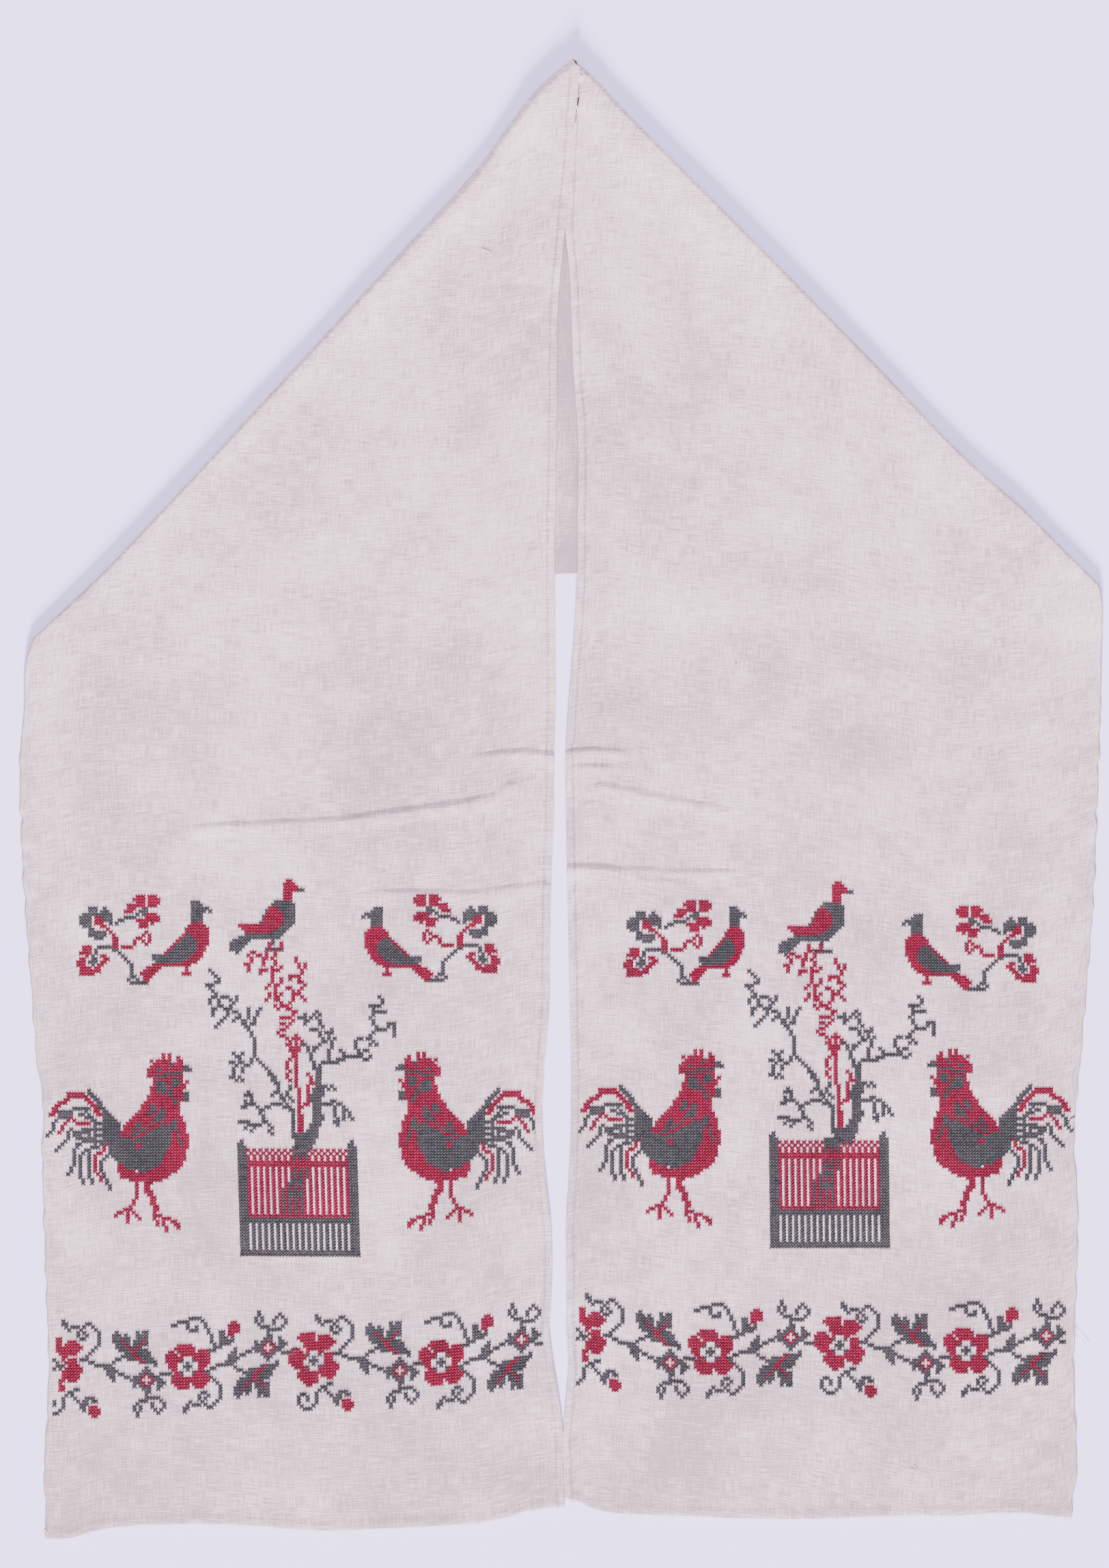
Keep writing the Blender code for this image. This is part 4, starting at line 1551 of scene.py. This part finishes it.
class TOWEL_OT_cloth(bpy.types.Operator):
    """Lay the folded linen cloth with its hems"""

    bl_idname = "towel.cloth"
    bl_label = "Linen cloth"

    def execute(self, context):
        sizes = context.scene.towel_cloth_sizes
        across = across_columns()
        hem_start = 1 - sizes.hem_width / sizes.width
        rows = sheet_rows(across, sizes.hem_width / MM, hem_start)
        points = np.array([row for row, _ in rows])
        shares = np.array([share for _, share in rows])
        steps = np.linalg.norm(np.diff(points, axis=0), axis=2)
        along = np.vstack((np.zeros(len(across)), np.cumsum(steps, axis=0))) * MM
        loft = bmesh.new()
        uv = loft.loops.layers.uv.new("cloth")
        verts = [[loft.verts.new(point * MM) for point in row] for row in points]
        for row in range(len(verts) - 1):
            for column in range(len(across) - 1):
                corners = ((row, column), (row, column + 1), (row + 1, column + 1), (row + 1, column))
                face = loft.faces.new([verts[r][c] for r, c in corners])
                for loop, (r, c) in zip(face.loops, corners):
                    loop[uv].uv = (across[c] * sizes.width, along[r, c])
        mesh = bpy.data.meshes.new("linen_cloth")
        loft.to_mesh(mesh)
        loft.free()
        cloth = bpy.data.objects.new("linen_cloth", mesh)
        context.scene.collection.objects.link(cloth)
        hem = cloth.vertex_groups.new(name="hem")
        for index, share in enumerate(shares.ravel()):
            if share > 0:
                hem.add((index,), float(share), "REPLACE")
        thicken = cloth.modifiers.new("thickness", "SOLIDIFY")
        thicken.thickness = sizes.hem_thickness
        thicken.vertex_group = "hem"
        thicken.thickness_vertex_group = sizes.thickness / sizes.hem_thickness
        thicken.offset = 1.0
        thicken.use_quality_normals = True
        mesh.materials.append(linen_material())
        mesh.shade_smooth()
        with context.temp_override(object=cloth, active_object=cloth, selected_objects=[cloth]):
            bpy.ops.object.modifier_apply(modifier="thickness")
        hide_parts("towel_cloth")
        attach(cloth, "root")
        return {"FINISHED"}


class TOWEL_OT_embroidery(bpy.types.Operator):
    """Work the cross-stitch on both ends"""

    bl_idname = "towel.embroidery"
    bl_label = "Cross-stitch"

    def execute(self, context):
        colours = context.scene.towel_colours
        threads = {
            "red": thread_material("red_thread", colours.red_light, colours.red_dark, 0.5),
            "grey": thread_material("grey_thread", colours.grey_light, colours.grey_dark, 0.6),
        }
        sewing = thread_material("linen_thread", colours.linen_light, colours.linen_dark, 0.5)
        chance = np.random.default_rng(STITCH_SEED)
        charts = worked_charts()
        for side in SIDES:
            for thread, material in threads.items():
                legs = []
                for chart, end, start, lie in charts:
                    cells = sorted(cell for cell, colour in chart.items() if colour == thread)
                    if end == side and cells:
                        legs.append(cross_points(cells, chart, side, start, lie, chance))
                piece = stitch_object(f"{side}_{thread}_stitches", np.concatenate(legs), material)
                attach(piece, "root")
            piece = stitch_object(f"{side}_hem_stitches", hem_points(side, chance), sewing)
            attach(piece, "root")
        # The grey pieces hold a loose end and the painted shadows at the point.
        for slot, material in (("grey_thread", threads["grey"]), ("linen", sewing)):
            piece = stitch_object(f"loose_{slot}_stitches", loose_end_and_shadow_points(slot == "grey_thread"), material)
            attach(piece, "root")
        return {"FINISHED"}


class TOWEL_OT_stage(bpy.types.Operator):
    """Set out the floor, the lights and the camera"""

    bl_idname = "towel.stage"
    bl_label = "Stage"

    def execute(self, context):
        scene = context.scene
        sizes = scene.towel_stage_sizes
        bpy.ops.mesh.primitive_plane_add(size=FLOOR_SIDE, location=(0.0, 0.0, 0.0))
        floor = context.active_object
        floor.name = "floor"
        paper = bpy.data.materials.new("floor")
        paper.use_nodes = True
        shader = paper.node_tree.nodes["Principled BSDF"]
        shader.inputs["Base Color"].default_value = (*scene.towel_colours.floor, 1.0)
        shader.inputs["Roughness"].default_value = 0.9
        shader.inputs["Specular IOR Level"].default_value = 0.1
        floor.data.materials.append(paper)
        for name, place, size in LIGHTS:
            light = bpy.data.lights.new(name, "AREA")
            light.size = size
            light.energy = getattr(sizes, name)
            lamp = bpy.data.objects.new(name, light)
            lamp.location = place
            lamp.rotation_euler = direction_euler(place)
            scene.collection.objects.link(lamp)
        world = bpy.data.worlds.new("studio")
        world.use_nodes = True
        world.node_tree.nodes["Background"].inputs["Color"].default_value = ROOM_COLOUR
        world.node_tree.nodes["Background"].inputs["Strength"].default_value = ROOM_STRENGTH
        scene.world = world
        lens = bpy.data.cameras.new("camera")
        lens.sensor_fit = "VERTICAL"
        lens.sensor_height = SENSOR_HEIGHT
        lens.lens = FOCAL_LENGTH
        camera = bpy.data.objects.new("camera", lens)
        camera.location = (*CAMERA_PLACE, sizes.camera_height)
        scene.collection.objects.link(camera)
        scene.camera = camera
        return {"FINISHED"}


def direction_euler(place):
    """How a light at that place is turned to face the middle of the towel."""
    x, y, z = place
    return (math.atan2(math.hypot(x, y), z), 0.0, math.atan2(x, -y))


class TOWEL_PT_panel(bpy.types.Panel):
    """Everything that lays out the towel"""

    bl_idname = "TOWEL_PT_panel"
    bl_label = "Ritual towel"
    bl_space_type = "VIEW_3D"
    bl_region_type = "UI"
    bl_category = "Towel"

    def draw(self, context):
        for operator in OPERATORS:
            self.layout.operator(operator.bl_idname)
        for name in SETTINGS:
            box = self.layout.box()
            group = getattr(context.scene, name)
            for setting in group.bl_rna.properties:
                if setting.identifier not in ("rna_type", "name"):
                    box.prop(group, setting.identifier)


SETTINGS = {
    "towel_cloth_sizes": TowelClothSizes,
    "towel_stitch_sizes": TowelStitchSizes,
    "towel_colours": TowelColours,
    "towel_stage_sizes": TowelStageSizes,
}
OPERATORS = (TOWEL_OT_cloth, TOWEL_OT_embroidery, TOWEL_OT_stage)


def register():
    for group in (*SETTINGS.values(), *OPERATORS, TOWEL_PT_panel):
        bpy.utils.register_class(group)
    for name, group in SETTINGS.items():
        setattr(bpy.types.Scene, name, bpy.props.PointerProperty(type=group))


def unregister():
    for name in SETTINGS:
        delattr(bpy.types.Scene, name)
    for group in (TOWEL_PT_panel, *OPERATORS, *SETTINGS.values()):
        bpy.utils.unregister_class(group)


def main():
    register()
    bpy.ops.object.select_all(action="DESELECT")
    bpy.ops.towel.cloth()
    bpy.ops.towel.embroidery()
    bpy.ops.towel.stage()


if __name__ == "__main__":
    main()
